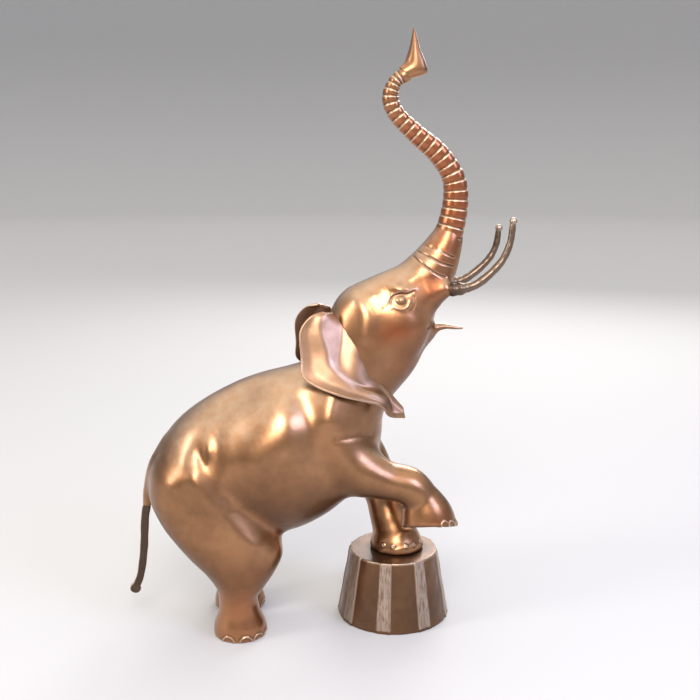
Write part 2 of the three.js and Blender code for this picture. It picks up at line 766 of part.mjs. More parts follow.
function makeElephant() {
  let solid = bodyGrownBy(0).add(makeTrunk());
  solid = solid.add(rod(LIP_POINT, 7, 8)).add(rod(TAIL_DOCK, 8, 8));
  const nostril = NOSTRIL.radii.map((value) => value * UNIT);
  solid = solid.subtract(ball(mm(NOSTRIL.centre), nostril, 8, 6));
  for (const side of [-1, 1]) {
    const [x, z] = EYE_PLACE;
    const depth = halfWidthAt(x, z, side) * UNIT - EYE_SINK_SHARE * EYE_RADIUS;
    const centre = new THREE.Vector3(x * UNIT, side * depth, z * UNIT);
    solid = solid.add(ball(centre, [EYE_RADIUS, EYE_RADIUS, EYE_RADIUS * 0.85], 10, 8));
  }
  const lift = (NAIL_WIDTH * NAIL_LIFT_SHARE) / UNIT;
  const [footX, footY] = HIND_LEG[HIND_LEG.length - 1];
  const [tubX, tubY] = STANDING_LEG[STANDING_LEG.length - 1];
  const [soleX, soleY, soleZ] = RAISED_SOLE;
  const all = [
    ...nails([footX, -footY, lift], HIND_NAILS, 1),
    ...nails([footX, footY, lift], HIND_NAILS, -1),
    ...nails([tubX, tubY, TUB_TOP + lift], TUB_NAILS, 1),
    ...nails([soleX, soleY, soleZ + lift], RAISED_NAILS, 1, RAISED_LEAN),
  ];
  all.forEach((nail) => {
    solid = solid.add(nail);
  });
  soleCuts().forEach((cut) => {
    solid = solid.subtract(cut);
  });
  return solid;
}

// A closed sheet of even thickness about a surface given by two shares.
function sheet(surface, stepsU, stepsV, thickness) {
  const middle = [];
  for (let i = 0; i <= stepsU; i += 1) {
    for (let j = 0; j <= stepsV; j += 1) {
      middle.push(surface(i / stepsU, j / stepsV));
    }
  }
  const at = (i, j) => i * (stepsV + 1) + j;
  const pick = (i, j) => middle[at(clamp(i, 0, stepsU), clamp(j, 0, stepsV))];
  const offsets = middle.map((_, n) => {
    const i = Math.floor(n / (stepsV + 1));
    const j = n % (stepsV + 1);
    const u = pick(i + 1, j).clone().sub(pick(i - 1, j));
    const v = pick(i, j + 1).clone().sub(pick(i, j - 1));
    return u.cross(v).normalize().multiplyScalar(thickness / 2);
  });
  const points = [
    ...middle.map((p, n) => p.clone().add(offsets[n])),
    ...middle.map((p, n) => p.clone().sub(offsets[n])),
  ].map((p) => [p.x, p.y, p.z]);
  const back = middle.length;
  const triangles = [];
  const wall = (a, b) => triangles.push([a, a + back, b + back], [a, b + back, b]);
  for (let i = 0; i < stepsU; i += 1) {
    for (let j = 0; j < stepsV; j += 1) {
      const [a, b, c, d] = [at(i, j), at(i + 1, j), at(i + 1, j + 1), at(i, j + 1)];
      triangles.push([a, b, c], [a, c, d]);
      triangles.push([a + back, c + back, b + back], [a + back, d + back, c + back]);
    }
    wall(at(i, 0), at(i + 1, 0));
    wall(at(i + 1, stepsV), at(i, stepsV));
  }
  for (let j = 0; j < stepsV; j += 1) {
    wall(at(stepsU, j), at(stepsU, j + 1));
    wall(at(0, j + 1), at(0, j));
  }
  const solid = solidFrom(points, triangles);
  const turned = triangles.map(([a, b, c]) => [a, c, b]);
  return solid.volume() > 0 ? solid : solidFrom(points, turned);
}

// An ear: a bent sheet between its two edges, with a ridge along its free edge.
function makeEar(side) {
  const inner = alongRows(EAR_INNER, 3);
  const outer = alongRows(EAR_OUTER, 3);
  return sheet((u, v) => {
    const a = inner(v);
    const b = outer(v);
    const ridge = EAR_RIDGE * Math.exp(-(((u - 0.62) / 0.16) ** 2)) * Math.sin(Math.PI * v);
    const swell = 0.5 * Math.sin(Math.PI * u);
    const x = a[0] + u * (b[0] - a[0]);
    const z = a[2] + u * (b[2] - a[2]);
    const y = a[1] + u * (b[1] - a[1]) + ridge + swell;
    const air = Math.min(1, 4 * u) * (EAR_AIR + EAR_SEAT) - EAR_SEAT;
    const clear = halfWidthAt(x, z, side) + air;
    return mm([x, -side * blend(-y, -clear, 0.6), z]);
  }, EAR_STEPS_ACROSS, EAR_STEPS_ALONG, EAR_THICKNESS);
}

// A round rod along a path, with a bead where it leaves the face and a ball at its tip.
function makeTusk(side, drop) {
  const path = TUSK_PATH.map(([x, y, z], n) => {
    const share = n / (TUSK_PATH.length - 1);
    return [x, side * y, z - drop * share * share];
  });
  const along = alongRows(path, 3);
  const stations = Array.from({ length: 11 }, (_, n) => n / 10);
  const rings = stations.map((share) => {
    const radius = TUSK_ROOT_RADIUS + share * (TUSK_TIP_RADIUS - TUSK_ROOT_RADIUS);
    const here = mm(along(share));
    const before = mm(along(share - 0.02));
    const after = mm(along(share + 0.02));
    return ring(here, acrossLine(before, after), radius, radius, 8);
  });
  const tip = mm(path[path.length - 1]);
  const tipBall = ball(tip, Array(3).fill(TUSK_BALL_RADIUS), 8, 4);
  const joint = lastInside(along, 0.5);
  const bead = ball(mm(along(joint)), Array(3).fill(BEAD_RADIUS), 8, 6);
  return loft(rings).add(tipBall).add(bead);
}

function makeTail() {
  const along = alongRows(TAIL_PATH, 3);
  const stations = Array.from({ length: 11 }, (_, n) => n / 10);
  const rings = stations.map((share) => {
    const here = mm(along(share));
    const across = acrossLine(mm(along(share - 0.03)), mm(along(share + 0.03)));
    return ring(here, across, TAIL_WIDTH / 2, TAIL_THICKNESS / 2, 8);
  });
  const end = mm(TAIL_PATH[TAIL_PATH.length - 1]);
  const tuft = ball(end, [TUFT_WIDTH / 2, TAIL_THICKNESS * 0.6, TUFT_WIDTH / 2], 8, 6);
  return loft(rings).add(tuft);
}

// The tub: a cut-off cone whose side carries flat ground strips.
function makeTub() {
  const levels = [
    [0, TUB_FOOT_RADIUS - TUB_EDGE],
    [TUB_EDGE, TUB_FOOT_RADIUS],
    [TUB_HEIGHT - TUB_EDGE, TUB_TOP_RADIUS],
    [TUB_HEIGHT, TUB_TOP_RADIUS - TUB_EDGE],
  ];
  const pitch = 360 / STRIP_COUNT;
  const half = (pitch * STRIP_SHARE) / 2;
  const plain = pitch - 2 * half;
  const rings = levels.map(([z, radius]) => {
    const section = [];
    for (let n = 0; n < STRIP_COUNT; n += 1) {
      const middle = STRIP_TURN + n * pitch;
      const corner = (degrees, extra) => {
        const turn = radians(degrees);
        const reach = radius + extra;
        section.push(new THREE.Vector3(reach * Math.cos(turn), reach * Math.sin(turn), z));
      };
      corner(middle - half, STRIP_RISE);
      corner(middle + half, STRIP_RISE);
      corner(middle + half + 0.5, 0);
      corner(middle + half + plain / 3, 0);
      corner(middle + half + (2 * plain) / 3, 0);
      corner(middle + half + plain - 0.5, 0);
    }
    return section;
  });
  return loft(rings);
}

const BRONZE = { color: 0x9a6238, roughness: 0.3, metalness: 1 };
const EAR_BRONZE = { color: 0xa26a3e, roughness: 0.28, metalness: 1 };
const ROD = { color: 0x6b5343, roughness: 0.42, metalness: 1 };
const TUB_BRONZE = { color: 0x7a4826, roughness: 0.4, metalness: 1 };

const group = new THREE.Group();

function addPiece(name, solid, look, place = new THREE.Vector3()) {
  const mesh = solid.getMesh();
  const geometry = new THREE.BufferGeometry();
  geometry.setAttribute("position", new THREE.BufferAttribute(mesh.vertProperties, 3));
  geometry.setIndex(new THREE.BufferAttribute(mesh.triVerts, 1));
  geometry.computeVertexNormals();
  const piece = new THREE.Mesh(geometry, new THREE.MeshStandardMaterial(look));
  piece.name = name;
  piece.position.copy(place);
  group.add(piece);
}

// What is fastened to the cast body is cut to its surface, with the fit gap.
const seat = bodyGrownBy(FIT_GAP);
const [tubX, tubY] = STANDING_LEG[STANDING_LEG.length - 1];

addPiece("elephant", makeElephant(), BRONZE);
addPiece("ear_right", makeEar(-1).subtract(seat), EAR_BRONZE);
addPiece("ear_left", makeEar(1).subtract(seat), EAR_BRONZE);
addPiece("tusk_right", makeTusk(-1, 0).subtract(seat), ROD);
addPiece("tusk_left", makeTusk(1, LEFT_TUSK_DROP).subtract(seat), ROD);
addPiece("tail", makeTail().subtract(seat), ROD);
addPiece("tub", makeTub(), TUB_BRONZE, mm([tubX - 0.65, tubY - 0.3, 0]));

// The origin is on the floor, under the middle of the whole doorstop.
const box = new THREE.Box3().setFromObject(group);
const middle = box.getCenter(new THREE.Vector3());
group.position.set(-middle.x, -middle.y, 0);

export default group;
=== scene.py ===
# %% [markdown]
# # Elephant doorstop
# The real object is a circus elephant about 46 cm tall, cast hollow in bronze, which rears on
# its hind feet and sets one fore foot on a round tub. The cast body, two sheet ears, two
# tusks, the tail and the tub were made apart and brazed together, then polished.
#
# This lesson dresses the plain model of it. Each piece is a surface worked out from formulas
# with numpy, and each finish is a small net of shader nodes. Lengths of the figure are
# written in hundredths of its height, because its pose and proportions go with its height.

import json
import math
import time

import bpy
import numpy as np
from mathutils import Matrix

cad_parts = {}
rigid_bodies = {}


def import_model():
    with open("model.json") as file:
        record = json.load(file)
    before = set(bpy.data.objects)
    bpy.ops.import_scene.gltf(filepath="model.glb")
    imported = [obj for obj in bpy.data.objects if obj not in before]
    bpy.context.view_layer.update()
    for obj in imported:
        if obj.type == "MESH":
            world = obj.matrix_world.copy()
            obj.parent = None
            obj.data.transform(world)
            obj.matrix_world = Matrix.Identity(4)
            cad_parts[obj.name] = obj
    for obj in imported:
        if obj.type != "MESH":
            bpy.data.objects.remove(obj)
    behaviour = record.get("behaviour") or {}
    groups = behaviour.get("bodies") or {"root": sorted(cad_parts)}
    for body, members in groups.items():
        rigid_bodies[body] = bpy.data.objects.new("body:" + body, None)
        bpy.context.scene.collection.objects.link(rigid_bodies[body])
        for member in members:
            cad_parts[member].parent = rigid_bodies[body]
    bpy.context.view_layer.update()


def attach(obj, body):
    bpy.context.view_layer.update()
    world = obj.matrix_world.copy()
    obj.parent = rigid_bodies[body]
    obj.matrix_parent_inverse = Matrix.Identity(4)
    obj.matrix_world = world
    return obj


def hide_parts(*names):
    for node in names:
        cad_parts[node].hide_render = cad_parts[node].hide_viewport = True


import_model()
clock = time.perf_counter()

# %% Sizes that every piece shares
FIGURE_HEIGHT = 0.460
UNIT = FIGURE_HEIGHT / 100
SHIFT = np.array([0.026, 0.0, 0.0])
TUB_HEIGHT = 0.055
FIT_GAP = 0.0003
TUB_TOP = (TUB_HEIGHT + FIT_GAP) / UNIT


def to_world(points):
    """Points in hundredths of the height, measured from the figure's own origin, in metres."""
    return np.asarray(points, float) * UNIT + SHIFT


# %% [markdown]
# ## Camera, floor and light
# The object was seen from its right side, a little from behind and from above, with its
# middle about 78 cm away. The camera comes first, so that every piece can be judged from it.
# Polished metal shows mostly what it mirrors, so the light is four large soft panels, and the
# surroundings are grey, darkest a little above the horizon and bright overhead.

# %% Camera
CAMERA_PLACE = (-0.0604, -0.7585, 0.3743)
CAMERA_TURN = math.radians(6.5)
CAMERA_DIP = math.radians(11.5)
SENSOR_WIDTH = 36
# The picture's width and the eye's distance from it, both in the photograph's own pixels.
PICTURE_WIDTH = 700
EYE_DISTANCE = 1000

camera_data = bpy.data.cameras.new("camera")
camera_data.sensor_width = SENSOR_WIDTH
camera_data.lens = SENSOR_WIDTH * EYE_DISTANCE / PICTURE_WIDTH
camera = bpy.data.objects.new("camera", camera_data)
bpy.context.scene.collection.objects.link(camera)
camera.location = CAMERA_PLACE
camera.rotation_euler = (math.pi / 2 - CAMERA_DIP, 0, -CAMERA_TURN)
bpy.context.scene.camera = camera
print("lens", round(camera_data.lens, 1), "mm")


# %% Meshes from arrays
def mesh_piece(name, points, faces):
    """A new smooth object from an array of points in metres and an array of faces with equally
    many corners. Its origin stays at the world's origin."""
    mesh = bpy.data.meshes.new(name)
    faces = np.ascontiguousarray(faces, np.int32)
    corners = faces.shape[1]
    mesh.vertices.add(len(points))
    mesh.vertices.foreach_set("co", np.asarray(points, np.float32).ravel())
    mesh.loops.add(faces.size)
    mesh.loops.foreach_set("vertex_index", faces.ravel())
    mesh.polygons.add(len(faces))
    mesh.polygons.foreach_set("loop_start", np.arange(0, faces.size, corners, dtype=np.int32))
    mesh.polygons.foreach_set("use_smooth", np.ones(len(faces), bool))
    mesh.update(calc_edges=True)
    mesh.validate()
    piece = bpy.data.objects.new(name, mesh)
    bpy.context.scene.collection.objects.link(piece)
    return piece


def paint(piece, name, values):
    """Writes one number per point into the mesh, for a material to read by its name."""
    layer = piece.data.attributes.new(name, "FLOAT", "POINT")
    layer.data.foreach_set("value", np.asarray(values, np.float32).ravel())


def tube_faces(rings, sides):
    """Four-cornered faces between rings of equally many points."""
    ring, side = np.meshgrid(np.arange(rings - 1), np.arange(sides), indexing="ij")
    a = ring * sides + side
    b = ring * sides + (side + 1) % sides
    return np.stack([a, b, b + sides, a + sides], -1).reshape(-1, 4)


# %% Floor
FLOOR_RADIUS = 5.0
BEND_RADIUS = 1.0
BOWL_HEIGHT = 1.8
INNER_RINGS = [1e-4, 0.5, 2.0]
FLOOR_SIDES = 96


def make_floor():
    """A flat round floor whose edge bends up into a low wall: radius and height follow a
    quarter circle beyond the floor's radius, then go straight up."""
    bend = np.linspace(0, np.pi / 2, 12)
    wall = [FLOOR_RADIUS + BEND_RADIUS]
    radius = np.concatenate([INNER_RINGS, FLOOR_RADIUS + BEND_RADIUS * np.sin(bend), wall])
    height = np.concatenate([[0, 0, 0], BEND_RADIUS * (1 - np.cos(bend)), [BOWL_HEIGHT]])
    turn = np.linspace(0, 2 * np.pi, FLOOR_SIDES, endpoint=False)
    x, y = radius[:, None] * np.cos(turn), radius[:, None] * np.sin(turn)
    z = np.repeat(height[:, None], FLOOR_SIDES, axis=1)
    faces = tube_faces(len(radius), FLOOR_SIDES)[:, ::-1]
    return mesh_piece("floor", np.stack([x, y, z], -1).reshape(-1, 3), faces)


floor = make_floor()

# %% Light
LIGHT_AIM = np.array([0.0, 0.0, 0.22])
# Each panel is its name, its place, its width and height, its power in watts and its tint.
PANELS = [
    ("panel_over", (-0.16, -1.25, 1.1), (0.65, 0.75), 20, (1.0, 0.95, 0.88)),
    ("panel_left", (-1.5, -0.4, 0.8), (0.35, 1.0), 12, (1.0, 0.95, 0.9)),
    ("panel_right", (1.0, -0.95, 0.95), (0.6, 0.6), 12, (0.50, 0.58, 1.0)),
    ("panel_back", (0.6, 1.4, 1.0), (0.9, 0.6), 14, (1.0, 0.97, 0.94)),
]
# The height of a direction of view, from 0 at the horizon to 1 overhead, and the tone there.
SKY = [
    (0.0, (0.66, 0.66, 0.67)),
    (0.3, (0.48, 0.49, 0.54)),
    (0.6, (0.95, 0.93, 0.90)),
    (0.95, (1.7, 1.64, 1.54)),
]


def soft_panel(name, place, size, watts, tint):
    """A rectangular light that faces the object's middle."""
    data = bpy.data.lights.new(name, "AREA")
    data.shape = "RECTANGLE"
    data.size, data.size_y = size
    data.energy = watts
    data.color = tint
    lamp = bpy.data.objects.new(name, data)
    bpy.context.scene.collection.objects.link(lamp)
    lamp.location = place
    x, y, z = LIGHT_AIM - place
    lamp.rotation_euler = (math.atan2(math.hypot(x, y), -z), 0, math.atan2(y, x) - math.pi / 2)


def make_sky():
    """Surroundings whose tone depends on the height of the direction of view alone."""
    world = bpy.data.worlds.new("surroundings")
    bpy.context.scene.world = world
    world.use_nodes = True
    nodes, links = world.node_tree.nodes, world.node_tree.links
    direction = nodes.new("ShaderNodeTexCoord").outputs["Generated"]
    height = nodes.new("ShaderNodeSeparateXYZ")
    tones = nodes.new("ShaderNodeValToRGB")
    stops = tones.color_ramp.elements
    for place, _ in SKY[1:-1]:
        stops.new(place)
    for stop, (place, tone) in zip(stops, SKY):
        stop.position = place
        stop.color = (*tone, 1)
    links.new(direction, height.inputs[0])
    links.new(height.outputs["Z"], tones.inputs["Fac"])
    links.new(tones.outputs["Color"], nodes["Background"].inputs["Color"])


for panel in PANELS:
    soft_panel(*panel)
make_sky()
bpy.context.scene.view_settings.view_transform = "Standard"
print(len(PANELS), "panels")


# %% [markdown]
# ## The cast body as a field
# The founder modelled the body in one go, so its masses run into each other: torso, four
# legs, head, jaw and lip. Sculpting it by hand would work, but a field is easier to keep true
# to measured sizes. A field gives each place in space its distance from the surface, negative
# inside. Round limbs are easy to write as fields, and two fields can be melted together over
# a chosen length.

# %% The masses of the body
# Each row is x, y, z, the radius in the side view and the half width, in hundredths.
TORSO = [
    (-25.0, 0, 25.6, 9.5, 9.2),
    (-20.5, 0, 28.0, 12.0, 10.2),
    (-13.4, 0, 30.0, 13.8, 10.8),
    (-7.5, 0, 33.0, 12.4, 10.2),
    (-4.0, 0, 37.0, 9.6, 8.8),
    (-1.6, 0, 41.5, 7.9, 7.2),
    (1.5, 0, 46.5, 7.0, 6.2),
]
HIND_LEG = [
    (-23.4, 4.0, 23.2, 9.8, 6.2),
    (-22.1, 4.7, 19.2, 9.6, 6.1),
    (-21.0, 5.1, 16.5, 8.9, 5.9),
    (-19.9, 5.3, 13.8, 7.8, 5.5),
    (-19.3, 5.4, 11.1, 5.9, 4.9),
    (-19.3, 5.5, 8.5, 4.15, 4.1),
    (-19.7, 5.5, 6.5, 3.3, 3.6),
    (-19.6, 5.5, 4.2, 3.5, 3.8),
    (-19.5, 5.5, 1.8, 4.35, 4.4),
    (-19.5, 5.5, 0.0, 4.45, 4.5),
]
RAISED_LEG = [
    (-3.2, -4.4, 29.6, 6.2, 5.2),
    (0.6, -5.6, 28.2, 4.6, 4.4),
    (5.2, -6.3, 26.5, 3.3, 3.5),
    (9.1, -6.5, 25.3, 3.3, 3.4),
    (11.3, -6.6, 22.9, 3.3, 3.3),
    (12.4, -6.8, 20.0, 4.35, 4.0),
    (12.75, -6.9, 17.6, 4.9, 4.4),
]
STANDING_LEG = [
    (-2.4, 4.4, 31.0, 6.6, 5.0),
    (2.8, 4.6, 27.0, 4.4, 4.0),
    (5.9, 3.6, TUB_TOP + 9.6, 3.3, 3.2),
    (7.0, 2.0, TUB_TOP + 5.2, 3.2, 3.1),
    (7.9, 0.7, TUB_TOP + 2.3, 3.75, 3.7),
    (8.3, 0.0, TUB_TOP, 4.7, 4.7),
]
HEAD = [
    (3.7, 0, 52.2, 7.2, 6.0),
    (7.4, 0, 54.4, 6.6, 5.7),
    (10.8, 0, 57.8, 4.85, 4.5),
    (13.8, 0, 61.2, 4.1, 3.8),
    (16.0, 0, 65.4, 2.9, 3.0),
    (16.6, 0, 67.2, 2.35, 2.5),
]
JAW = [
    (2.6, 0, 44.2, 6.0, 5.6),
    (5.9, 0, 47.8, 6.2, 5.5),
    (8.6, 0, 51.4, 4.8, 4.4),
]
LOWER_LIP = [
    (9.6, 0, 48.9, 2.6, 2.5),
    (12.4, 0, 50.3, 2.0, 2.1),
    (13.7, 0, 50.8, 1.2, 1.4),
]
LIP_POINT = [
    (12.6, 0, 50.4, 1.2, 1.4),
    (14.6, 0, 51.2, 0.8, 1.2),
    (16.3, 0, 51.4, 0.5, 0.9),
    (17.8, 0, 51.2, 0.38, 0.65),
    (19.2, 0, 51.0, 0.2, 0.35),
]
TUSK_SOCKET = [
    (11.0, 2.4, 55.8, 2.8, 2.4),
    (15.2, 3.2, 58.1, 1.5, 1.5),
]
TAIL_DOCK = [
    (-30.5, 0, 32.0, 1.5, 1.9),
    (-32.6, 0, 28.5, 1.6, 1.7),
    (-34.2, 0, 24.6, 1.1, 1.4),
    (-34.8, 0, 21.9, 0.75, 1.0),
]
RAISED_SOLE = (13.0, -6.6, 18.0)
RAISED_LEAN = math.radians(20)


# %% Fields
def through_rows(rows, steps):
    """A smooth curve through the rows (Catmull-Rom), a fixed number of steps between them."""
    rows = np.array(rows, float)
    all_rows = np.vstack([2 * rows[0] - rows[1], rows, 2 * rows[-1] - rows[-2]])
    a, b, c, d = (all_rows[k : len(all_rows) - 3 + k, None] for k in range(4))
    t = (np.arange(steps) / steps)[None, :, None]
    square = 2 * a - 5 * b + 4 * c - d
    cube = -a + 3 * b - 3 * c + d
    curve = 0.5 * (2 * b + (c - a) * t + square * t**2 + cube * t**3)
    return np.vstack([curve.reshape(-1, rows.shape[1]), rows[-1]])


def limb(points, rows, steps=4, reach=6.0):
    """The distance to a limb: the nearest of the short cones between its rows, each an ellipse
    in section. With s = distance from the axis in units of the two radii, it is s(s-1) over
    the slope of s. Points further than reach from the limb's box only get that distance."""
    fine = through_rows(rows, steps)
    ends = fine[:, [3, 4, 3]]
    low = (fine[:, :3] - ends).min(0)
    high = (fine[:, :3] + ends).max(0)
    away = np.maximum(low - points, points - high).max(1)
    result = np.maximum(away, reach)
    close = away <= reach
    p = points[close]
    best = np.full(len(p), np.inf)
    for a, b in zip(fine[:-1], fine[1:]):
        step = b[:3] - a[:3]
        t = np.clip((p - a[:3]) @ step / (step @ step), 0, 1)
        gap = p - a[:3] - t[:, None] * step
        r = a[3] + t * (b[3] - a[3])
        w = a[4] + t * (b[4] - a[4])
        plane = gap[:, 0] ** 2 + gap[:, 2] ** 2
        side = gap[:, 1] ** 2
        near = np.sqrt(plane / r**2 + side / w**2)
        slope = np.sqrt(plane / r**4 + side / w**4)
        here = np.where(slope < 1e-9, -np.minimum(r, w), near * (near - 1) / (slope + 1e-12))
        best = np.minimum(best, here)
    result[close] = best
    return result


def column(points, rows):
    """The distance to an upright limb, whose section at each height is an ellipse read from
    the rows. It keeps a thin ankle between a thick shank and a wide foot. Above its top it is
    closed by a round cap."""
    fine = through_rows(rows, 24)[::-1]
    height = np.clip(points[:, 2], fine[0, 2], fine[-1, 2])
    x, y, r, w = (np.interp(height, fine[:, 2], fine[:, k]) for k in (0, 1, 3, 4))
    dx, dy, dz = points[:, 0] - x, points[:, 1] - y, points[:, 2] - height
    plane, side = dx * dx + dz * dz, dy * dy
    near = np.sqrt(plane / r**2 + side / w**2)
    slope = np.sqrt(plane / r**4 + side / w**4)
    return near * (near - 1) / (slope + 1e-9)


def egg(points, centre, radii, pitch=0.0):
    """The distance to an ellipsoid whose long axis is raised from +X by a pitch in degrees."""
    c, s = math.cos(math.radians(pitch)), math.sin(math.radians(pitch))
    d = points - np.array(centre)
    local = np.stack([d[:, 0] * c + d[:, 2] * s, d[:, 1], d[:, 2] * c - d[:, 0] * s], 1)
    near = np.sqrt(((local / radii) ** 2).sum(1))
    slope = np.sqrt(((local / np.square(radii)) ** 2).sum(1))
    return near * (near - 1) / (slope + 1e-9)


def melt(a, b, k):
    """The nearer of two fields, rounded where they meet over a length k."""
    h = np.maximum(k - np.abs(a - b), 0) / k
    return np.minimum(a, b) - h * h * k / 4


def ramp(values, start, end):
    """0 before start, 1 after end, with a smooth step between (3t^2 - 2t^3)."""
    t = np.clip((values - start) / (end - start), 0, 1)
    return t * t * (3 - 2 * t)


def line_weight(points, path, width):
    """1 on a smooth line of the side view, falling off as a bell of a given half width, and 0
    further than three half widths away."""
    line = through_rows(path, 5) if len(path) > 2 else np.array(path, float)
    low, high = line.min(0) - 3 * width, line.max(0) + 3 * width
    x, z = points[:, 0], points[:, 2]
    close = np.nonzero((x > low[0]) & (x < high[0]) & (z > low[1]) & (z < high[1]))[0]
    x, z = x[close], z[close]
    nearest = np.full(len(close), np.inf)
    for (ax, az), (bx, bz) in zip(line[:-1], line[1:]):
        ex, ez = bx - ax, bz - az
        t = np.clip(((x - ax) * ex + (z - az) * ez) / (ex * ex + ez * ez), 0, 1)
        nearest = np.minimum(nearest, (x - ax - t * ex) ** 2 + (z - az - t * ez) ** 2)
    weight = np.zeros(len(points))
    weight[close] = np.exp(-nearest / width**2)
    return weight


def spot_weight(points, centre, radii, pitch=0.0):
    """1 at a point of the side view, falling off as an oval bell: exp(-(u^2 + v^2)), with u and
    v in units of the two half widths."""
    c, s = math.cos(math.radians(pitch)), math.sin(math.radians(pitch))
    dx, dz = points[:, 0] - centre[0], points[:, 2] - centre[1]
    along, across = dx * c + dz * s, dz * c - dx * s
    return np.exp(-((along / radii[0]) ** 2) - (across / radii[1]) ** 2)


# %% [markdown]
# ## Carving
# On the real cast the carving is soft: a crease above the thigh, shallow grooves between rib
# and shoulder, wrinkles at the trunk's root, and small sharp lids round the eye. Each line is
# a stroke seen from the side, which sinks the surface or, where its depth is negative, raises
# it. Strokes act on both flanks and fade out towards the middle plane.

# %% Strokes
# Each stroke is a path of points x, z, then its half width and its depth, in hundredths.
STROKES = [
    ([(-18.0, 41.0), (-21.4, 36.0), (-22.6, 31.5), (-21.4, 27.0), (-18.2, 22.8), (-14.6, 19.2)],
     3.2, 0.75),
    ([(-20.6, 26.0), (-18.0, 22.6), (-15.4, 20.0), (-13.0, 17.8)], 1.6, 0.3),
    ([(-26.4, 29.0), (-24.4, 25.4), (-21.6, 22.4), (-18.6, 19.8), (-16.4, 17.6)], 2.0, -0.5),
    ([(-8.4, 40.0), (-7.0, 35.0), (-5.2, 30.4), (-2.8, 26.6)], 2.6, 0.85),
    ([(-11.8, 37.6), (-13.8, 34.8), (-16.0, 32.0)], 4.2, -0.7),
    ([(-3.8, 41.2), (-4.5, 38.0)], 1.6, -0.4),
    ([(-3.6, 34.7), (0.0, 34.8), (3.2, 34.3)], 0.5, 0.16),
    ([(-0.2, 57.9), (0.9, 56.2), (1.7, 54.2), (1.7, 51.4)], 1.5, -0.3),
    ([(13.1, 50.1), (11.5, 47.1), (9.3, 44.2)], 0.5, 0.1),
    ([(14.1, 52.9), (12.6, 52.0)], 0.45, 0.16),
]
# Each spot is its middle x, z, its two half widths, its pitch and its depth.
SPOTS = [
    ((-25.1, 31.8), (0.7, 1.5), 15, 0.28),
    ((-23.9, 33.4), (0.9, 1.5), 0, -0.26),
    ((-29.8, 27.9), (2.2, 2.0), 0, -0.34),
    ((-28.1, 31.4), (1.1, 1.8), -20, -0.16),
    ((-26.4, 28.6), (1.2, 1.6), 20, -0.14),
]
FACE_STROKES = [
    ([(5.9, 56.4), (6.6, 57.35), (7.7, 57.7), (8.8, 57.7), (9.8, 58.1)], 0.22, 0.12),
    ([(6.3, 57.6), (7.6, 58.25), (8.9, 58.2), (10.2, 58.6)], 0.3, -0.08),
    ([(6.3, 56.1), (7.1, 55.5), (8.1, 55.35), (8.9, 55.8), (9.2, 56.6)], 0.16, -0.05),
    ([(6.4, 55.3), (8.1, 54.65), (9.5, 55.1), (10.1, 56.2), (10.0, 57.2)], 0.22, 0.045),
    ([(4.9, 55.5), (5.5, 55.8), (6.1, 56.2)], 0.28, 0.05),
]
FACE_SPOTS = [
    ((7.7, 58.75), (1.8, 0.75), -4, -0.5),
    ((4.9, 59.5), (1.3, 0.8), 10, -0.2),
    ((2.4, 58.8), (1.2, 0.8), 25, -0.26),
    ((3.4, 57.6), (1.0, 0.7), 20, -0.13),
    ((9.9, 60.2), (1.2, 0.8), 20, -0.16),
    ((6.0, 57.0), (2.2, 1.2), 20, 0.18),
]
ROOT_WRINKLES = [
    ([(10.2, 63.7), (12.1, 62.0), (14.0, 60.8), (15.5, 60.2)], 0.17, 0.2),
    ([(11.3, 64.2), (12.8, 63.5), (14.7, 62.6), (16.9, 61.9)], 0.17, 0.2),
    ([(12.2, 65.3), (14.3, 64.6), (17.0, 63.4)], 0.15, 0.16),
]
EYE_PLACE = (7.8, 56.75)
EYE_RADIUS = 0.95
NAIL_EDGE = 0.14
# Each foot's nails: the sole's middle x, its distance outward and its z, its radius, the nails'
# radius and their turns in degrees, counted from the elephant's side towards its front. The
# first row stands for both hind feet, the second for the standing and the third for the raised
# fore foot, whose nails are seen from the elephant's right.
NAILS = [
    (-19.5, 5.5, 0.0, 4.4, 1.05, (-27, 12, 43, 76, 110)),
    (8.3, 0.0, TUB_TOP + 1.6, 4.2, 0.2, (-40, -17, 13, 33, 60)),
    (12.75, 6.8, 18.0, 4.8, 0.9, (29, 50, 74, 100)),
]


# %% The whole body
def nail_arches(points):
    """1 on the raised edges of the toenails. Each is an arch on the sole's rim: the places
    whose distance from a point of the rim is the nail's radius."""
    weight = np.zeros(len(points))
    outer = np.abs(points[:, 1])
    for x, y, z, reach, radius, turns in NAILS:
        near = (np.abs(points[:, 0] - x) < reach + 2) & (np.abs(points[:, 2] - z) < 3.5)
        close = np.nonzero(near)[0]
        hind, raised = x < 0, z == RAISED_SOLE[2]
        dx, dy = points[close, 0] - x, (outer if hind else -points[:, 1])[close] - y
        up = -below_raised_sole(points[close]) if raised else points[close, 2] - z
        for turn in np.radians(turns):
            gap = (np.arctan2(dx, dy) - turn + np.pi) % (2 * np.pi) - np.pi
            away = np.abs(np.hypot(reach * gap, up) - radius)
            weight[close] = np.maximum(weight[close], np.exp(-((away / 0.15) ** 2)) * (up > -0.4))
    return weight


def below_raised_sole(points):
    """How far a point lies below the leaning sole of the raised foot."""
    lean = (points[:, 1] - RAISED_SOLE[1]) * math.sin(RAISED_LEAN)
    return -lean - (points[:, 2] - RAISED_SOLE[2]) * math.cos(RAISED_LEAN)


def add_marks(depth, points, share, strokes, spots):
    """Adds to the depth what each stroke and spot sinks, times a share for each point."""
    for path, width, sink in strokes:
        depth += share * sink * line_weight(points, path, width)
    for centre, radii, pitch, sink in spots:
        depth += share * sink * spot_weight(points, centre, radii, pitch)


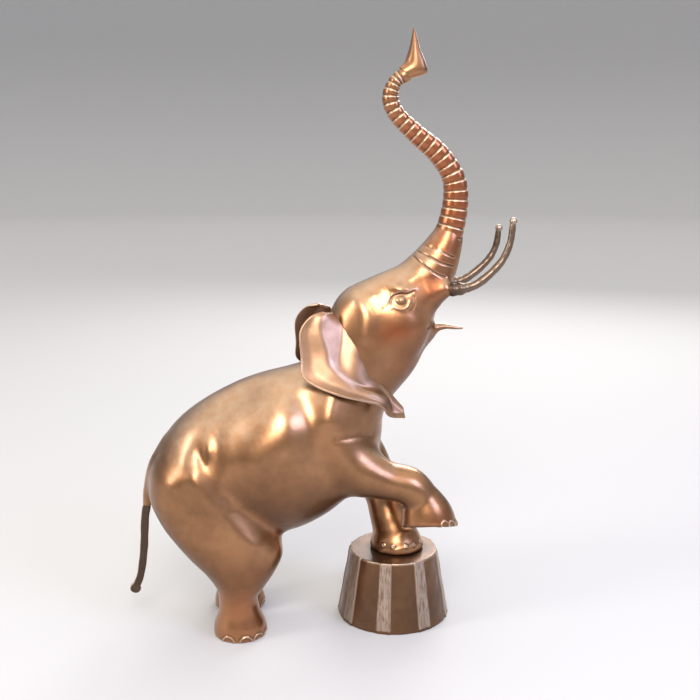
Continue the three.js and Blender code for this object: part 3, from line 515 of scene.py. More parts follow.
def carving(points):
    """The depth of all strokes and spots together, less the raised edges of the nails."""
    side = np.abs(points[:, 1])
    flank = np.clip((side - 1.5) / 2.5, 0, 1)
    depth = np.zeros(len(points))
    add_marks(depth, points, flank, STROKES, SPOTS)
    face = (points[:, 0] > 0) & (points[:, 2] > 51)
    cut = np.zeros(face.sum())
    add_marks(cut, points[face], flank[face], FACE_STROKES, FACE_SPOTS)
    add_marks(cut, points[face], np.clip((side[face] - 0.4) / 1.6, 0, 1), ROOT_WRINKLES, [])
    depth[face] += cut
    return depth - NAIL_EDGE * nail_arches(points)


def cut_flat(shape, below, edge=0.45):
    """What of a shape isn't below a plane, with an edge rounded over a length."""
    return -melt(-shape, -below, edge)


def cast_body(points):
    """The field of the cast body, in hundredths of the height. Masses are melted together from
    the torso outward, then carved, and the eyeball is set in last."""
    mirrored = np.stack([points[:, 0], np.abs(points[:, 1]), points[:, 2]], 1)
    z = points[:, 2]
    body = limb(points, TORSO, 9)
    body = melt(body, cut_flat(column(mirrored, HIND_LEG), -z), 2.6)
    body = melt(body, cut_flat(limb(points, RAISED_LEG, 12), below_raised_sole(points)), 2.2)
    body = melt(body, cut_flat(limb(points, STANDING_LEG, 10), TUB_TOP - z), 2.2)
    face = melt(limb(points, HEAD, 8), limb(points, JAW, 6), 2)
    face = melt(face, egg(mirrored, (8.0, 3.0, 51.3), (5.0, 3.2, 4.4), 40), 1.5)
    face = melt(face, limb(points, LOWER_LIP), 1.2)
    face = melt(face, limb(points, LIP_POINT), 0.6)
    face = melt(face, limb(mirrored, TUSK_SOCKET, 2), 1.6)
    body = melt(body, face, 3)
    body = melt(body, limb(points, TAIL_DOCK), 1.0)
    close = np.abs(body) < 3
    body[close] += carving(points[close])
    body = np.maximum(body, -z)
    eye = (EYE_PLACE[0], EYE_SIDE - 0.55 * EYE_RADIUS, EYE_PLACE[1] - 0.1)
    return melt(body, egg(mirrored, eye, (0.98 * EYE_RADIUS, EYE_RADIUS, 0.86 * EYE_RADIUS), 8), 0.2)


def side_reach(x, z, side, reach=12.0):
    """How far the surface lies from the middle plane at a point of the side view, found by
    halving the range 24 times."""
    x, z = np.broadcast_arrays(np.asarray(x, float), np.asarray(z, float))
    inner = np.zeros(x.size)
    outer = np.full(x.size, reach)
    for _ in range(24):
        middle = (inner + outer) / 2
        inside = cast_body(np.stack([x.ravel(), side * middle, z.ravel()], 1)) < 0
        inner = np.where(inside, middle, inner)
        outer = np.where(inside, outer, middle)
    return inner.reshape(x.shape)


# The eyeball first lies outside the head, so that the bare head's half width can be measured.
EYE_SIDE = -5.0
EYE_SIDE = float(side_reach(*EYE_PLACE, 1))
print("half width at the eye:", round(EYE_SIDE * UNIT * 1000, 1), "mm")


# %% [markdown]
# ## From field to skin
# To get a mesh, the field is sampled on a grid of planes, and each grid cell that the surface
# crosses gets one point; cells that share a crossed grid edge are joined by a face. The points
# then move down the field's slope until they lie on the surface, and triangles are split
# again where the carving is fine, as a sculptor takes a smaller tool for the eye.

# %% Sampling
def near_samples(field, axes, stride=4):
    """Field values on a grid. Every fourth plane is worked out first, and the places between
    only where the surface may be near; the others keep the value of the nearest plane."""
    coarse = [axis[::stride] for axis in axes]
    shape = [len(axis) for axis in axes]
    corners = np.stack(np.meshgrid(*coarse, indexing="ij"), -1)
    rough = field(corners.reshape(-1, 3)).reshape(corners.shape[:3])
    pick = [np.minimum((np.arange(n) + stride // 2) // stride, len(c) - 1)
            for n, c in zip(shape, coarse)]
    values = rough[np.ix_(*pick)].copy()
    margin = 1.1 * stride * max(np.diff(axis).max() for axis in axes)
    close = np.argwhere(np.abs(values) < margin)
    places = np.stack([axes[k][close[:, k]] for k in range(3)], 1)
    values[tuple(close.T)] = field(places)
    return values


def skin_cells(axes, values):
    """One point for each cell that the surface crosses, at the mean of its crossed edges, and
    one four-cornered face round each crossed grid edge."""
    inside = values < 0
    nx, ny, nz = values.shape
    count = np.zeros((nx - 1, ny - 1, nz - 1), np.int8)
    corners = [(a, b, c) for a in (0, 1) for b in (0, 1) for c in (0, 1)]
    for a, b, c in corners:
        count += inside[a : nx - 1 + a, b : ny - 1 + b, c : nz - 1 + c]
    cells = np.argwhere((count > 0) & (count < 8))
    number = np.full(count.shape, -1)
    number[tuple(cells.T)] = np.arange(len(cells))
    total = np.zeros((len(cells), 3))
    crossed = np.zeros(len(cells))
    for a in corners:
        for k in range(3):
            if a[k]:
                continue
            b = list(a)
            b[k] = 1
            here, there = cells + a, cells + b
            fa, fb = values[tuple(here.T)], values[tuple(there.T)]
            cut = (fa < 0) != (fb < 0)
            t = np.where(cut, fa / np.where(cut, fa - fb, 1), 0)[:, None]
            start = np.stack([axes[n][here[:, n]] for n in range(3)], 1)
            end = np.stack([axes[n][there[:, n]] for n in range(3)], 1)
            total += np.where(cut[:, None], start + t * (end - start), 0)
            crossed += cut
    faces = []
    for axis in range(3):
        low, high = [slice(None)] * 3, [slice(None)] * 3
        low[axis], high[axis] = slice(0, -1), slice(1, None)
        edge = np.argwhere(inside[tuple(low)] != inside[tuple(high)])
        u, v = np.eye(3, dtype=int)[(axis + 1) % 3], np.eye(3, dtype=int)[(axis + 2) % 3]
        ring = [number[tuple((edge - m * u - n * v).T)] for m, n in ((1, 1), (0, 1), (0, 0), (1, 0))]
        ring = np.stack(ring, 1)
        outward = inside[tuple(edge.T)][:, None]
        faces.append(np.where(outward, ring, ring[:, ::-1]))
    return total / crossed[:, None], np.vstack(faces)


def slope_of(field, points, step=0.04):
    """The field's slope at each point, by differences."""
    slope = np.empty_like(points)
    for k in range(3):
        move = np.zeros(3)
        move[k] = step
        slope[:, k] = (field(points + move) - field(points - move)) / (2 * step)
    return slope


def settle(field, points, longest, turns=2):
    """Moves points down the slope onto the surface: value over slope, along the slope."""
    for _ in range(turns):
        slope = slope_of(field, points)
        steep = (slope**2).sum(1) + 1e-9
        move = -(field(points) / steep)[:, None] * slope
        length = np.linalg.norm(move, axis=1)[:, None] + 1e-12
        points = points + move * np.minimum(1, longest / length)
    return points


def halves(points, quads):
    """Cuts each four-cornered face into two triangles along its shorter diagonal."""
    a, b, c, d = quads.T
    first = ((points[a] - points[c]) ** 2).sum(1) <= ((points[b] - points[d]) ** 2).sum(1)
    one = np.where(first[:, None], quads[:, [0, 1, 2]], quads[:, [0, 1, 3]])
    two = np.where(first[:, None], quads[:, [0, 2, 3]], quads[:, [1, 2, 3]])
    return np.vstack([one, two])


def split_long_edges(points, triangles, wanted):
    """Splits each edge that is longer than wanted at its middle. A triangle with one, two or
    three split edges becomes two, three or four, so no gap opens between neighbours."""
    sides = np.sort(triangles[:, [[0, 1], [1, 2], [2, 0]]], axis=2)
    keys = sides[..., 0].astype(np.int64) * len(points) + sides[..., 1]
    unique, back = np.unique(keys, return_inverse=True)
    back = back.reshape(-1, 3)
    a, b = unique // len(points), unique % len(points)
    middle = (points[a] + points[b]) / 2
    long = np.linalg.norm(points[a] - points[b], axis=1) > wanted(middle)
    fresh = np.full(len(unique), -1)
    fresh[long] = len(points) + np.arange(long.sum())
    split = long[back]
    code = split @ np.array([1, 2, 4])
    turn = np.array([0, 0, 1, 0, 2, 2, 1, 0])[code]
    rows = np.arange(len(triangles))[:, None]
    order = (np.arange(3)[None] + turn[:, None]) % 3
    corner = triangles[rows, order]
    half = fresh[back][rows, order]
    count = split.sum(1)
    p, q, r = corner.T
    m, n, o = half.T
    keep = [triangles[count == 0]]
    for wants, patterns in (
        (1, [(p, m, r), (m, q, r)]),
        (2, [(m, q, n), (p, m, n), (p, n, r)]),
        (3, [(p, m, o), (q, n, m), (r, o, n), (m, n, o)]),
    ):
        chosen = count == wants
        keep += [np.stack(pattern, 1)[chosen] for pattern in patterns]
    return np.vstack([points, middle[long]]), np.vstack(keep)


# %% Where the skin is made finer
CELL = 0.40
LOW_CORNER = (-37.0, -12.8, -1.4)
HIGH_CORNER = (21.0, 12.8, 71.0)
# Each is a path of points x, z, its half width and the edge length wanted near it.
FINE_LINES = [
    ([(4.2, 56.2), (7.8, 57.2), (10.8, 57.4)], 2.3, 0.17),
    ([(10.0, 63.0), (13.4, 61.9), (17.4, 62.2)], 2.2, 0.21),
    ([(0.5, 56.5), (1.6, 53.0)], 1.8, 0.25),
    ([(14.4, 52.6), (10.8, 49.6), (16.0, 51.4)], 1.6, 0.24),
    ([(15.5, 51.4), (19.4, 50.8)], 1.2, 0.16),
]
# The middle of each sole in the side view, how far its rim reaches, and the lengths there.
SOLES = [(-19.5, 0.0), (8.3, TUB_TOP), (13.0, 18.0)]
SOLE_REACH = 5.6
SOLE_LENGTH = 0.3
NAIL_LENGTH = 0.14


def wanted_length(points):
    """The edge length that the carving asks for: short near fine lines, soles and nails."""
    wanted = np.full(len(points), 9.0)
    for path, width, length in FINE_LINES:
        near = line_weight(points, path, width) > 0.37
        wanted[near] = np.minimum(wanted[near], length)
    for x, z in SOLES:
        near = (np.abs(points[:, 0] - x) < SOLE_REACH) & (np.abs(points[:, 2] - z) < 0.7)
        wanted[near] = np.minimum(wanted[near], SOLE_LENGTH)
    wanted[nail_arches(points) > 1e-3] = NAIL_LENGTH
    return wanted


# %% Make the cast body
axes = [np.arange(low, high, CELL) for low, high in zip(LOW_CORNER, HIGH_CORNER)]
values = near_samples(cast_body, axes)
body_points, body_quads = skin_cells(axes, values)
body_points = settle(cast_body, body_points, 0.25 * CELL)
body_triangles = halves(body_points, body_quads)
for _ in range(2):
    body_points, body_triangles = split_long_edges(body_points, body_triangles, wanted_length)
    body_points = settle(cast_body, body_points, 0.2 * CELL, turns=1)
body_points = settle(cast_body, body_points, 0.2 * CELL, turns=1)
print("cast body:", len(body_points), "points,", len(body_triangles), "triangles,",
      round(time.perf_counter() - clock, 1), "s")
body = mesh_piece("cast_body", to_world(body_points), body_triangles)


# %% [markdown]
# ## Trunk
# The raised trunk is the handle of the doorstop. On the real one, twenty-four grooves are cut
# across it, each with a sharp lower lip, and a bright line of painted highlight is laid along
# each lip. Seen in section its back is round and its front is flatter. It is a section carried
# along a smooth curve, and its size is a formula of the way along: the grooves are narrow
# notches in it. It starts inside the head, where its rings are a little narrower, so that they
# stay hidden.

# %% Trunk sizes
# Each row is x, z, the half depth and the half width.
TRUNK = [
    (15.4, 63.9, 3.0, 3.1),
    (16.4, 66.5, 2.45, 2.6),
    (17.4, 70.4, 2.2, 2.35),
    (17.65, 74.0, 2.05, 2.2),
    (16.9, 77.0, 1.85, 2.05),
    (14.4, 80.4, 1.78, 1.95),
    (10.8, 83.4, 1.58, 1.75),
    (7.7, 86.4, 1.4, 1.6),
    (6.55, 89.0, 1.35, 1.5),
    (7.3, 91.5, 1.2, 1.4),
    (8.9, 92.7, 1.3, 1.4),
]
# Back edge, front edge and half width of the tip's sections. The last is the finger.
TIP = [
    ((7.9, 93.9), (9.9, 92.0), 1.4),
    ((8.8, 94.7), (12.4, 92.9), 1.6),
    ((9.3, 96.0), (12.3, 94.5), 1.5),
    ((9.7, 97.3), (11.4, 96.6), 1.1),
    ((10.0, 98.8), (10.8, 98.6), 0.6),
    ((10.2, 99.95), (10.45, 99.9), 0.2),
]
RING_COUNT = 24
RING_START = 0.095
RING_END = 0.975
RING_CROWDING = 0.144
GROOVE_DEPTH = 0.13
LIP_RISE = 0.12
ROOT_SHARE = 0.06
TRUNK_STEPS = 560
TRUNK_SIDES = 64


# %% Curves and tubes
def bell(values, middle, width):
    """exp(-((value - middle) / width)^2)."""
    return np.exp(-(((values - middle) / width) ** 2))


def even_curve(rows, dimensions, count):
    """Rows of a smooth curve at even steps of its length, which the first dimensions give."""
    fine = through_rows(rows, 24)
    steps = np.linalg.norm(np.diff(fine[:, :dimensions], axis=0), axis=1)
    travelled = np.concatenate([[0], np.cumsum(steps)]) / steps.sum()
    shares = np.linspace(0, 1, count)
    return np.stack([np.interp(shares, travelled, fine[:, k]) for k in range(fine.shape[1])], 1)


def outward(points, triangles):
    """Turns all triangles over if the closed shape they make has a negative volume."""
    p = points[triangles]
    volume = np.einsum("ij,ij->i", p[:, 0], np.cross(p[:, 1], p[:, 2])).sum()
    return triangles if volume > 0 else triangles[:, ::-1]


def tube_piece(name, rings):
    """An object from rings of equally many points, joined in turn and closed by a small fan at
    both ends. The hubs of the two fans are its last two points."""
    count, sides = rings.shape[:2]
    points = rings.reshape(-1, 3)
    quads = tube_faces(count, sides)
    side = np.arange(sides)
    after = (side + 1) % sides
    last = (count - 1) * sides
    first_hub, last_hub = np.full(sides, len(points)), np.full(sides, len(points) + 1)
    triangles = np.vstack([
        quads[:, [0, 1, 2]],
        quads[:, [0, 2, 3]],
        np.stack([first_hub, after, side], 1),
        np.stack([last_hub, last + side, last + after], 1),
    ])
    points = np.vstack([points, points[:sides].mean(0), points[-sides:].mean(0)])
    print(name, len(triangles), "triangles")
    return mesh_piece(name, points, outward(points, triangles))


def paint_tube(piece, name, values):
    """Writes one number per ring point; the two hubs take the first and the last of them."""
    values = np.ravel(values)
    paint(piece, name, np.concatenate([values, values[:1], values[-1:]]))


# %% Make the trunk
def groove_places():
    """Shares of the length at which the grooves lie: evenly spaced, then a little closer
    together towards the tip, by start + range * ((1 + c) t - c t^5)."""
    t = np.arange(RING_COUNT) / (RING_COUNT - 1)
    eased = (1 + RING_CROWDING) * t - RING_CROWDING * t**5
    return RING_START + (RING_END - RING_START) * eased


def grooves(share):
    """Saw-tooth notches: from each groove the surface rises steeply on the side of the root
    and swells slowly towards the tip, as overlapping rings do. Returns the depth, the weight of
    the raised lips and that of the grooves."""
    places = groove_places()
    offset = (share[:, None] - places[None]) / np.diff(places).mean()
    wide = bell(offset, 0, 0.13)
    after = np.where(offset > 0, bell(offset, 0, 0.33), 0)
    lip = bell(offset, -0.17, 0.1)
    depth = (wide + 0.35 * after).max(1) - LIP_RISE * lip.max(1)
    return depth, lip.max(1), wide.max(1)


def trunk_rows():
    """For each ring its middle, the unit direction towards its back, half depth, half width,
    groove depth, lip and groove weights: first the grooved part, then the tip, which starts
    with a few rings that bridge the change of section."""
    share = np.linspace(0, 1, TRUNK_STEPS)
    rows = even_curve(TRUNK, 2, TRUNK_STEPS)[share >= ROOT_SHARE]
    share = share[share >= ROOT_SHARE]
    centre = rows[:, :2]
    heading = np.gradient(centre, axis=0)
    heading /= np.linalg.norm(heading, axis=1)[:, None]
    across = np.stack([-heading[:, 1], heading[:, 0]], 1)
    hidden = 0.86 + 0.14 * ramp(share, 0.065, 0.088)
    half = rows[:, 2:4] * hidden[:, None]
    tip = even_curve([(*back, *front, width) for back, front, width in TIP], 5, 90)
    arm = across[-1] * half[-1, 0]
    first = np.concatenate([centre[-1] + arm, centre[-1] - arm, half[-1, 1:]])
    bridge = first + np.linspace(0, 1, 8)[1:-1, None] * (tip[0] - first)
    tip = np.vstack([bridge, tip])
    back, front = tip[:, :2], tip[:, 2:4]
    thick = np.linalg.norm(back - front, axis=1)[:, None]
    grooved = np.hstack([centre, across, half, np.stack(grooves(share), 1)])
    smooth = np.hstack([(back + front) / 2, (back - front) / thick, thick / 2, tip[:, 4:],
                        np.zeros((len(tip), 3))])
    return np.vstack([grooved, smooth])


def make_trunk():
    """Each section is an ellipse whose front, where the cosine is negative, is flattened by
    raising the cosine to the power 0.6. The grooves are deeper at the front than at the back."""
    rows = trunk_rows()
    centre, across, half, depth = rows[:, :2], rows[:, 2:4], rows[:, 4:6], rows[:, 6:7]
    turn = np.linspace(0, 2 * np.pi, TRUNK_SIDES, endpoint=False)
    cos, sin = np.cos(turn), np.sin(turn)
    deeper = 0.35 + 0.65 * np.clip(0.5 - 0.5 * cos + 0.4, 0, 1)
    cos = np.where(cos < 0, -np.abs(cos) ** 0.6, cos)
    cut = GROOVE_DEPTH * depth * deeper
    out = (half[:, :1] - cut) * cos
    side = (half[:, 1:] - cut) * sin
    x = centre[:, :1] + across[:, :1] * out
    z = centre[:, 1:] + across[:, 1:] * out
    piece = tube_piece("trunk", to_world(np.stack([x, side, z], -1)))
    way = np.linspace(0, 1, len(rows))
    dull = 0.6 * ramp(way, 0.86, 0.92)
    warm = 0.75 * (1 - ramp(way, 0.5, 0.9)) * ramp(way, 0.0, 0.1)
    lip, groove = rows[:, 7], rows[:, 8]
    # The lips get a painted highlight, the grooves a darker patina, the tip a darker tone and the root
    # half a reddish tone.
    for mask, values in (("rubbed_and_lit", 0.7 * lip), ("hollow", np.maximum(groove, dull)), ("bloom", warm)):
        paint_tube(piece, mask, np.repeat(values, TRUNK_SIDES))
    return piece


trunk = make_trunk()


# %% [markdown]
# ## Ears
# The ears are sheets of bronze, cast apart, bent, and brazed on behind the cheeks. They are
# surfaces of two shares: one across from the head to the free edge, one along from the top to
# the hanging lobe. On the middle surface stand a ridge, a hollow behind it, a rim that turns
# up, and the fold of the lobe. The thickness fades to nothing at the rim by a quarter of a
# circle, so that the edge is round.

# %% Ear sizes
# Each row is x, the distance from the middle plane, z.
EAR_INNER = [
    (-3.3, 3.4, 54.6),
    (-1.4, 4.2, 52.2),
    (0.4, 4.5, 49.7),
    (1.5, 4.7, 46.9),
    (2.8, 4.6, 44.0),
    (5.1, 5.6, 42.4),
    (8.0, 6.6, 39.1),
]
EAR_OUTER = [
    (-5.0, 4.4, 54.9),
    (-7.2, 5.2, 54.3),
    (-8.9, 5.8, 51.9),
    (-8.8, 6.8, 47.9),
    (-8.7, 7.8, 45.0),
    (-6.6, 8.6, 43.4),
    (-2.8, 9.4, 42.0),
    (1.0, 9.4, 41.0),
    (4.1, 8.8, 39.9),
    (5.6, 8.0, 37.9),
    (8.4, 7.2, 37.4),
]
EAR_THICKNESS = 0.0024
EAR_SEAT = 0.25
EAR_AIR = 0.65
EAR_ACROSS = 56
EAR_ALONG = 120
EVENING_TURNS = 60


# %% Make the ears
def rounded_share(share, rim):
    """Thickness share near both edges: a quarter circle over the rim, 1 between."""
    t = np.clip(np.minimum(share, 1 - share) / rim, 0, 1)
    return np.sqrt(np.maximum(1 - (1 - t) ** 2, 0))


def lobe_valley(v):
    """The share across at which the lobe's valley lies, at a share along."""
    return 0.12 + 0.4 * ramp(v, 0.6, 0.97)


def ear_middle(side, u, v):
    """The ear's middle surface at shares u across and v along. Its distance from the middle
    plane goes evenly from the inner to the free edge, plus the ridge at u = 0.58 - 0.1 v, less
    the hollow at u = 0.8, plus the rim, less the valley of the lobe, and it clears the neck,
    whose own small bumps are first evened out by repeated means of neighbours."""
    scale = np.linspace(0, 1, 400)
    inner, outer = (even_curve(edge, 3, len(scale)) for edge in (EAR_INNER, EAR_OUTER))
    a, b = (np.stack([np.interp(v, scale, edge[:, k]) for k in range(3)], -1)
            for edge in (inner, outer))
    place = a + u[..., None] * (b - a)
    middle = np.sin(np.pi * np.clip(v, 0, 1)) ** 0.7
    away = np.sqrt((u - (0.58 - 0.1 * v)) ** 2 + 0.05**2) - 0.05
    ridge = (0.3 + 0.25 * v) * np.exp(-away / 0.17) * middle * (1 - ramp(v, 0.7, 0.93))
    hollow = 0.2 * bell(u, 0.8, 0.14) * middle
    rim = 0.08 * ramp(u, 0.94, 1.0) * ramp(v, 0.02, 0.15) * (1 - ramp(v, 0.8, 0.95))
    valley = 0.38 * bell(u, lobe_valley(v), 0.16) * ramp(v, 0.58, 0.78) * (1 - ramp(v, 0.86, 1.0))
    out = place[..., 1] + 0.45 * np.sin(np.pi * u) + ridge - hollow + rim - valley
    air = np.sin(np.pi / 2 * np.minimum(1, 2.2 * u)) * (EAR_AIR + EAR_SEAT) - EAR_SEAT
    clear = side_reach(place[..., 0], place[..., 2], side)
    for _ in range(EVENING_TURNS):
        framed = np.pad(clear, 1, mode="edge")
        clear = (framed[:-2, 1:-1] + framed[2:, 1:-1] + framed[1:-1, :-2] + framed[1:-1, 2:]) / 4
    clear = clear + air
    place[..., 1] = side * -melt(-out, -clear, 0.6)
    return place


def there_and_back(front, rear):
    """Sections that go out on the front face and come back on the rear one."""
    return np.concatenate([front, rear[:, -2:0:-1]], axis=1)


def make_ear(name, side):
    """A closed sheet: along each of its sections the points go out on the front face and come
    back on the rear one, at half the thickness on each side of the middle surface."""
    u = 0.5 - 0.5 * np.cos(np.linspace(0, np.pi, EAR_ACROSS))
    v = 0.5 - 0.5 * np.cos(np.linspace(0, np.pi, EAR_ALONG))
    v = 0.6 * v + 0.4 * np.linspace(0, 1, EAR_ALONG)
    grid_v, grid_u = np.meshgrid(v, u, indexing="ij")
    middle = to_world(ear_middle(side, grid_u, grid_v))
    normal = np.cross(np.gradient(middle, axis=0), np.gradient(middle, axis=1))
    normal /= np.linalg.norm(normal, axis=2)[..., None]
    width = np.linalg.norm(middle[:, -1] - middle[:, 0], axis=1)
    half = EAR_THICKNESS / 2
    rim = np.clip(half / width, 0.02, 0.4)[:, None]
    thick = (half * rounded_share(grid_u, rim) * rounded_share(grid_v, 0.012))[..., None]
    piece = tube_piece(name, there_and_back(middle + normal * thick, middle - normal * thick))
    ridge = bell(grid_u, 0.5, 0.05) * np.sin(np.pi * grid_v)
    hollow = 0.5 * bell(grid_u, lobe_valley(grid_v), 0.07) * ramp(grid_v, 0.6, 0.75)
    hollow += 0.5 * (1 - ramp(grid_u, 0.0, 0.06))
    hollow += 0.6 * bell(grid_v, 0.42, 0.06) * (1 - ramp(grid_u, 0.02, 0.16))
    outer_masks = (0.7 * ramp(grid_u, 0.985, 1.0) + 0.3 * ridge, hollow)
    # Painted shade: the face turned towards the neck is darkened all over.
    inner_masks = (0.8 * ramp(grid_u, 0.97, 1.0), np.full(grid_u.shape, 0.85))
    pairs = list(zip(outer_masks, inner_masks))
    outer_is_front = np.sign(normal[..., 1].mean()) == side
    for mask, pair in zip(("rubbed_and_lit", "hollow"), pairs):
        front, rear = pair if outer_is_front else pair[::-1]
        paint_tube(piece, mask, there_and_back(front, rear))
    return piece


ear_right = make_ear("ear_sheet_right", -1)
ear_left = make_ear("ear_sheet_left", 1)


# %% [markdown]
# ## Tusks and tail
# Tusks and tail are plain rods: round ones for the tusks, a flat strip for the tail. Each was
# bent warm and brazed on, which leaves a bead at the joint, and each ends in a small ball or
# tuft where the metal was melted. They are rings carried along a curve, with a radius that is
# a formula of the way along.

# %% Rod sizes
TUSK_PATH = [
    (14.6, 3.0, 58.0),
    (17.9, 4.1, 58.3),
    (20.9, 4.4, 59.3),
    (24.3, 4.5, 62.4),
    (25.9, 4.5, 65.6),
    (26.4, 4.5, 69.4),
]
LEFT_TUSK_DROP = 1.8
TUSK_ROOT_RADIUS = 0.0039
TUSK_TIP_RADIUS = 0.0023
TUSK_BALL_RADIUS = 0.0029
BEAD_RADIUS = 0.0049
TAIL_PATH = [
    (-34.8, 0, 21.85),
    (-35.3, 0, 19.0),
    (-35.7, 0, 13.5),
    (-36.4, 0, 9.0),
    (-37.4, 0, 6.4),
]
TAIL_WIDTH = 0.0065
TAIL_THICKNESS = 0.0032
TUFT_WIDTH = 0.0086
TUSK_SIDES = 32
TAIL_SIDES = 40
TAIL_STEPS = 160
TUFT_STEPS = 23
SMALLEST_RADIUS = 2e-5


# %% Make the rods
def rod_rings(path, depth, width, sides, power=1.0):
    """Rings along a path in metres. A ring's first axis lies across the path in the side view,
    its second is Y. Powers below 1 square the section: sign(cos) |cos|^power."""
    heading = np.gradient(path[:, [0, 2]], axis=0)
    heading /= np.linalg.norm(heading, axis=1)[:, None]
    turn = np.linspace(0, 2 * np.pi, sides, endpoint=False)
    cos = np.sign(np.cos(turn)) * np.abs(np.cos(turn)) ** power
    sin = np.sign(np.sin(turn)) * np.abs(np.sin(turn)) ** power
    out = depth[:, None] * cos
    x = path[:, 0:1] - heading[:, 1:2] * out
    z = path[:, 2:3] + heading[:, 0:1] * out
    y = path[:, 1:2] + width[:, None] * sin
    return np.stack([x, y, z], -1)


def ball_profile(way, centre, radius):
    """Radius of a ball's section at a way along the rod: the root of r^2 - distance^2."""
    return np.sqrt(np.maximum(radius**2 - (way - centre) ** 2, 0))


def make_tusk(name, side, drop):
    """The radius is the largest of three: the rod's, which goes evenly from root to tip with
    slight waves, the ball's, and the bead's where the rod leaves the face."""
    share = np.linspace(0, 1, len(TUSK_PATH))
    rows = [(x, side * y, z - drop * s * s) for (x, y, z), s in zip(TUSK_PATH, share)]
    curve = even_curve(rows, 3, 2000)
    joint = np.argmax(cast_body(curve) >= 0) / len(curve)
    length = np.linalg.norm(np.diff(to_world(curve), axis=0), axis=1).sum()
    ball_share = TUSK_BALL_RADIUS / length
    ways = np.unique(np.concatenate([
        np.linspace(0, 1 - 0.006, 240),
        1 + ball_share * np.sin(np.linspace(-0.9, np.pi / 2, 16)[:-1]),
        [1 + ball_share - 1e-5],
    ]))
    scale = np.linspace(0, 1, len(curve))
    path = np.stack([np.interp(ways, scale, curve[:, k]) for k in range(3)], 1)
    beyond = np.maximum(ways - 1, 0)[:, None] * length / UNIT
    last = curve[-1] - curve[-20]
    path = to_world(path + beyond * last / np.linalg.norm(last))
    rod = TUSK_ROOT_RADIUS + np.minimum(ways, 1) * (TUSK_TIP_RADIUS - TUSK_ROOT_RADIUS)
    rod = rod * (1 + 0.03 * np.sin(37 * ways + side) + 0.02 * np.sin(83 * ways))
    rod = np.where(ways > 1, SMALLEST_RADIUS, rod)
    way = ways * length
    ball = ball_profile(way, length, TUSK_BALL_RADIUS)
    from_joint = (way - joint * length - 0.002) / 0.0062
    lumps = 1 + 0.06 * np.sin(900 * way + side)
    bead = TUSK_ROOT_RADIUS + (BEAD_RADIUS - TUSK_ROOT_RADIUS) * np.exp(-(from_joint**4))
    bead = np.where(np.abs(from_joint) < 1.6, bead * lumps, 0)
    radius = np.maximum.reduce([rod, ball, bead])
    piece = tube_piece(name, rod_rings(path, radius, radius, TUSK_SIDES))
    near_joint = bell((ways - joint) * length, 0, 0.006)
    paint_tube(piece, "rubbed_and_lit", np.repeat(0.6 * ramp(ways, 0.93, 1.0), TUSK_SIDES))
    paint_tube(piece, "hollow", np.repeat(0.8 * near_joint, TUSK_SIDES))
    return piece


def make_tail():
    """A flat strip with rounded corners that narrows a little, and a flattened ball on its end."""
    curve = to_world(even_curve(TAIL_PATH, 3, TAIL_STEPS))
    way = np.linspace(0, 1, TAIL_STEPS)
    length = np.linalg.norm(np.diff(curve, axis=0), axis=1).sum()
    strip = TAIL_WIDTH / 2 * (1 - 0.1 * way) * (1 + 0.03 * np.sin(29 * way))
    strip = strip * (0.7 + 0.3 * ramp(way, 0.0, 0.05))
    tuft_length = TUFT_WIDTH / 2
    extra = np.linspace(0, 1, TUFT_STEPS + 1)[1:]
    heading = curve[-1] - curve[-4]
    heading /= np.linalg.norm(heading)
    path = np.vstack([curve, curve[-1] + extra[:, None] * heading * tuft_length])
    along = np.concatenate([way * length, length + extra * tuft_length])
    tuft = ball_profile(along, length, TUFT_WIDTH / 2)
    beyond = np.full(TUFT_STEPS, SMALLEST_RADIUS)
    depth = np.maximum(np.concatenate([strip, beyond]), tuft)
    width = np.concatenate([np.full(TAIL_STEPS, TAIL_THICKNESS / 2), beyond])
    width = np.maximum(width, 0.42 * tuft)
    piece = tube_piece("tail_strip", rod_rings(path, depth, width, TAIL_SIDES, 0.55))
    turn = np.linspace(0, 2 * np.pi, TAIL_SIDES, endpoint=False)
    worn = 0.8 - 0.3 * ramp(along, length - tuft_length, length)
    paint_tube(piece, "rubbed_and_lit", np.tile(0.75 * bell(np.abs(np.cos(turn)), 0.9, 0.12), len(path)))
    paint_tube(piece, "hollow", np.repeat(worn, TAIL_SIDES))
    return piece


tusk_right = make_tusk("tusk_rod_right", -1, 0)
tusk_left = make_tusk("tusk_rod_left", 1, LEFT_TUSK_DROP)
tail = make_tail()


# %% [markdown]
# ## Tub
# The circus tub is a cut-off cone with a flat lid. Eight upright strips stand a little proud
# of it, and a coarse belt has ground them flat and left them grey with scratches, while the
# fields between keep their brown skin. It is a profile turned about its axis, whose radius
# also depends on the compass turn.

# %% Tub sizes
TUB_TOP_RADIUS = 0.035
TUB_FOOT_RADIUS = 0.0445
TUB_EDGE = 0.001
LID_RIM = 0.0016
STRIP_COUNT = 8
STRIP_SHARE = 0.31
STRIP_TURN = math.radians(-18.5)
STRIP_RISE = 0.0007
TUB_MIDDLE = to_world((8.3 - 0.65, -0.3, 0)) * np.array([1, 1, 0])


# %% Make the tub
def tub_profile():
    """Rows of height and radius, from the middle of the underside round to that of the lid:
    the edges are quarter circles, and the wall between them is straight."""
    bend = np.linspace(0, np.pi / 2, 6)
    turned_in, risen = TUB_EDGE * (1 - np.sin(bend)), TUB_EDGE * (1 - np.cos(bend))
    wall = np.linspace(0.003, TUB_HEIGHT - 0.0025, 26)
    slope = (TUB_TOP_RADIUS - TUB_FOOT_RADIUS) / TUB_HEIGHT
    under = np.array([0.004, 0.02, 0.034, 0.041])
    flat = np.linspace(TUB_TOP_RADIUS - LID_RIM, 0.004, 12)
    return np.vstack([
        np.stack([np.zeros(len(under)), under], 1),
        np.stack([risen, TUB_FOOT_RADIUS - turned_in], 1),
        np.stack([wall, TUB_FOOT_RADIUS + slope * wall], 1),
        np.stack([TUB_HEIGHT - turned_in, TUB_TOP_RADIUS - risen], 1),
        np.stack([np.full(len(flat), TUB_HEIGHT), flat], 1),
    ])


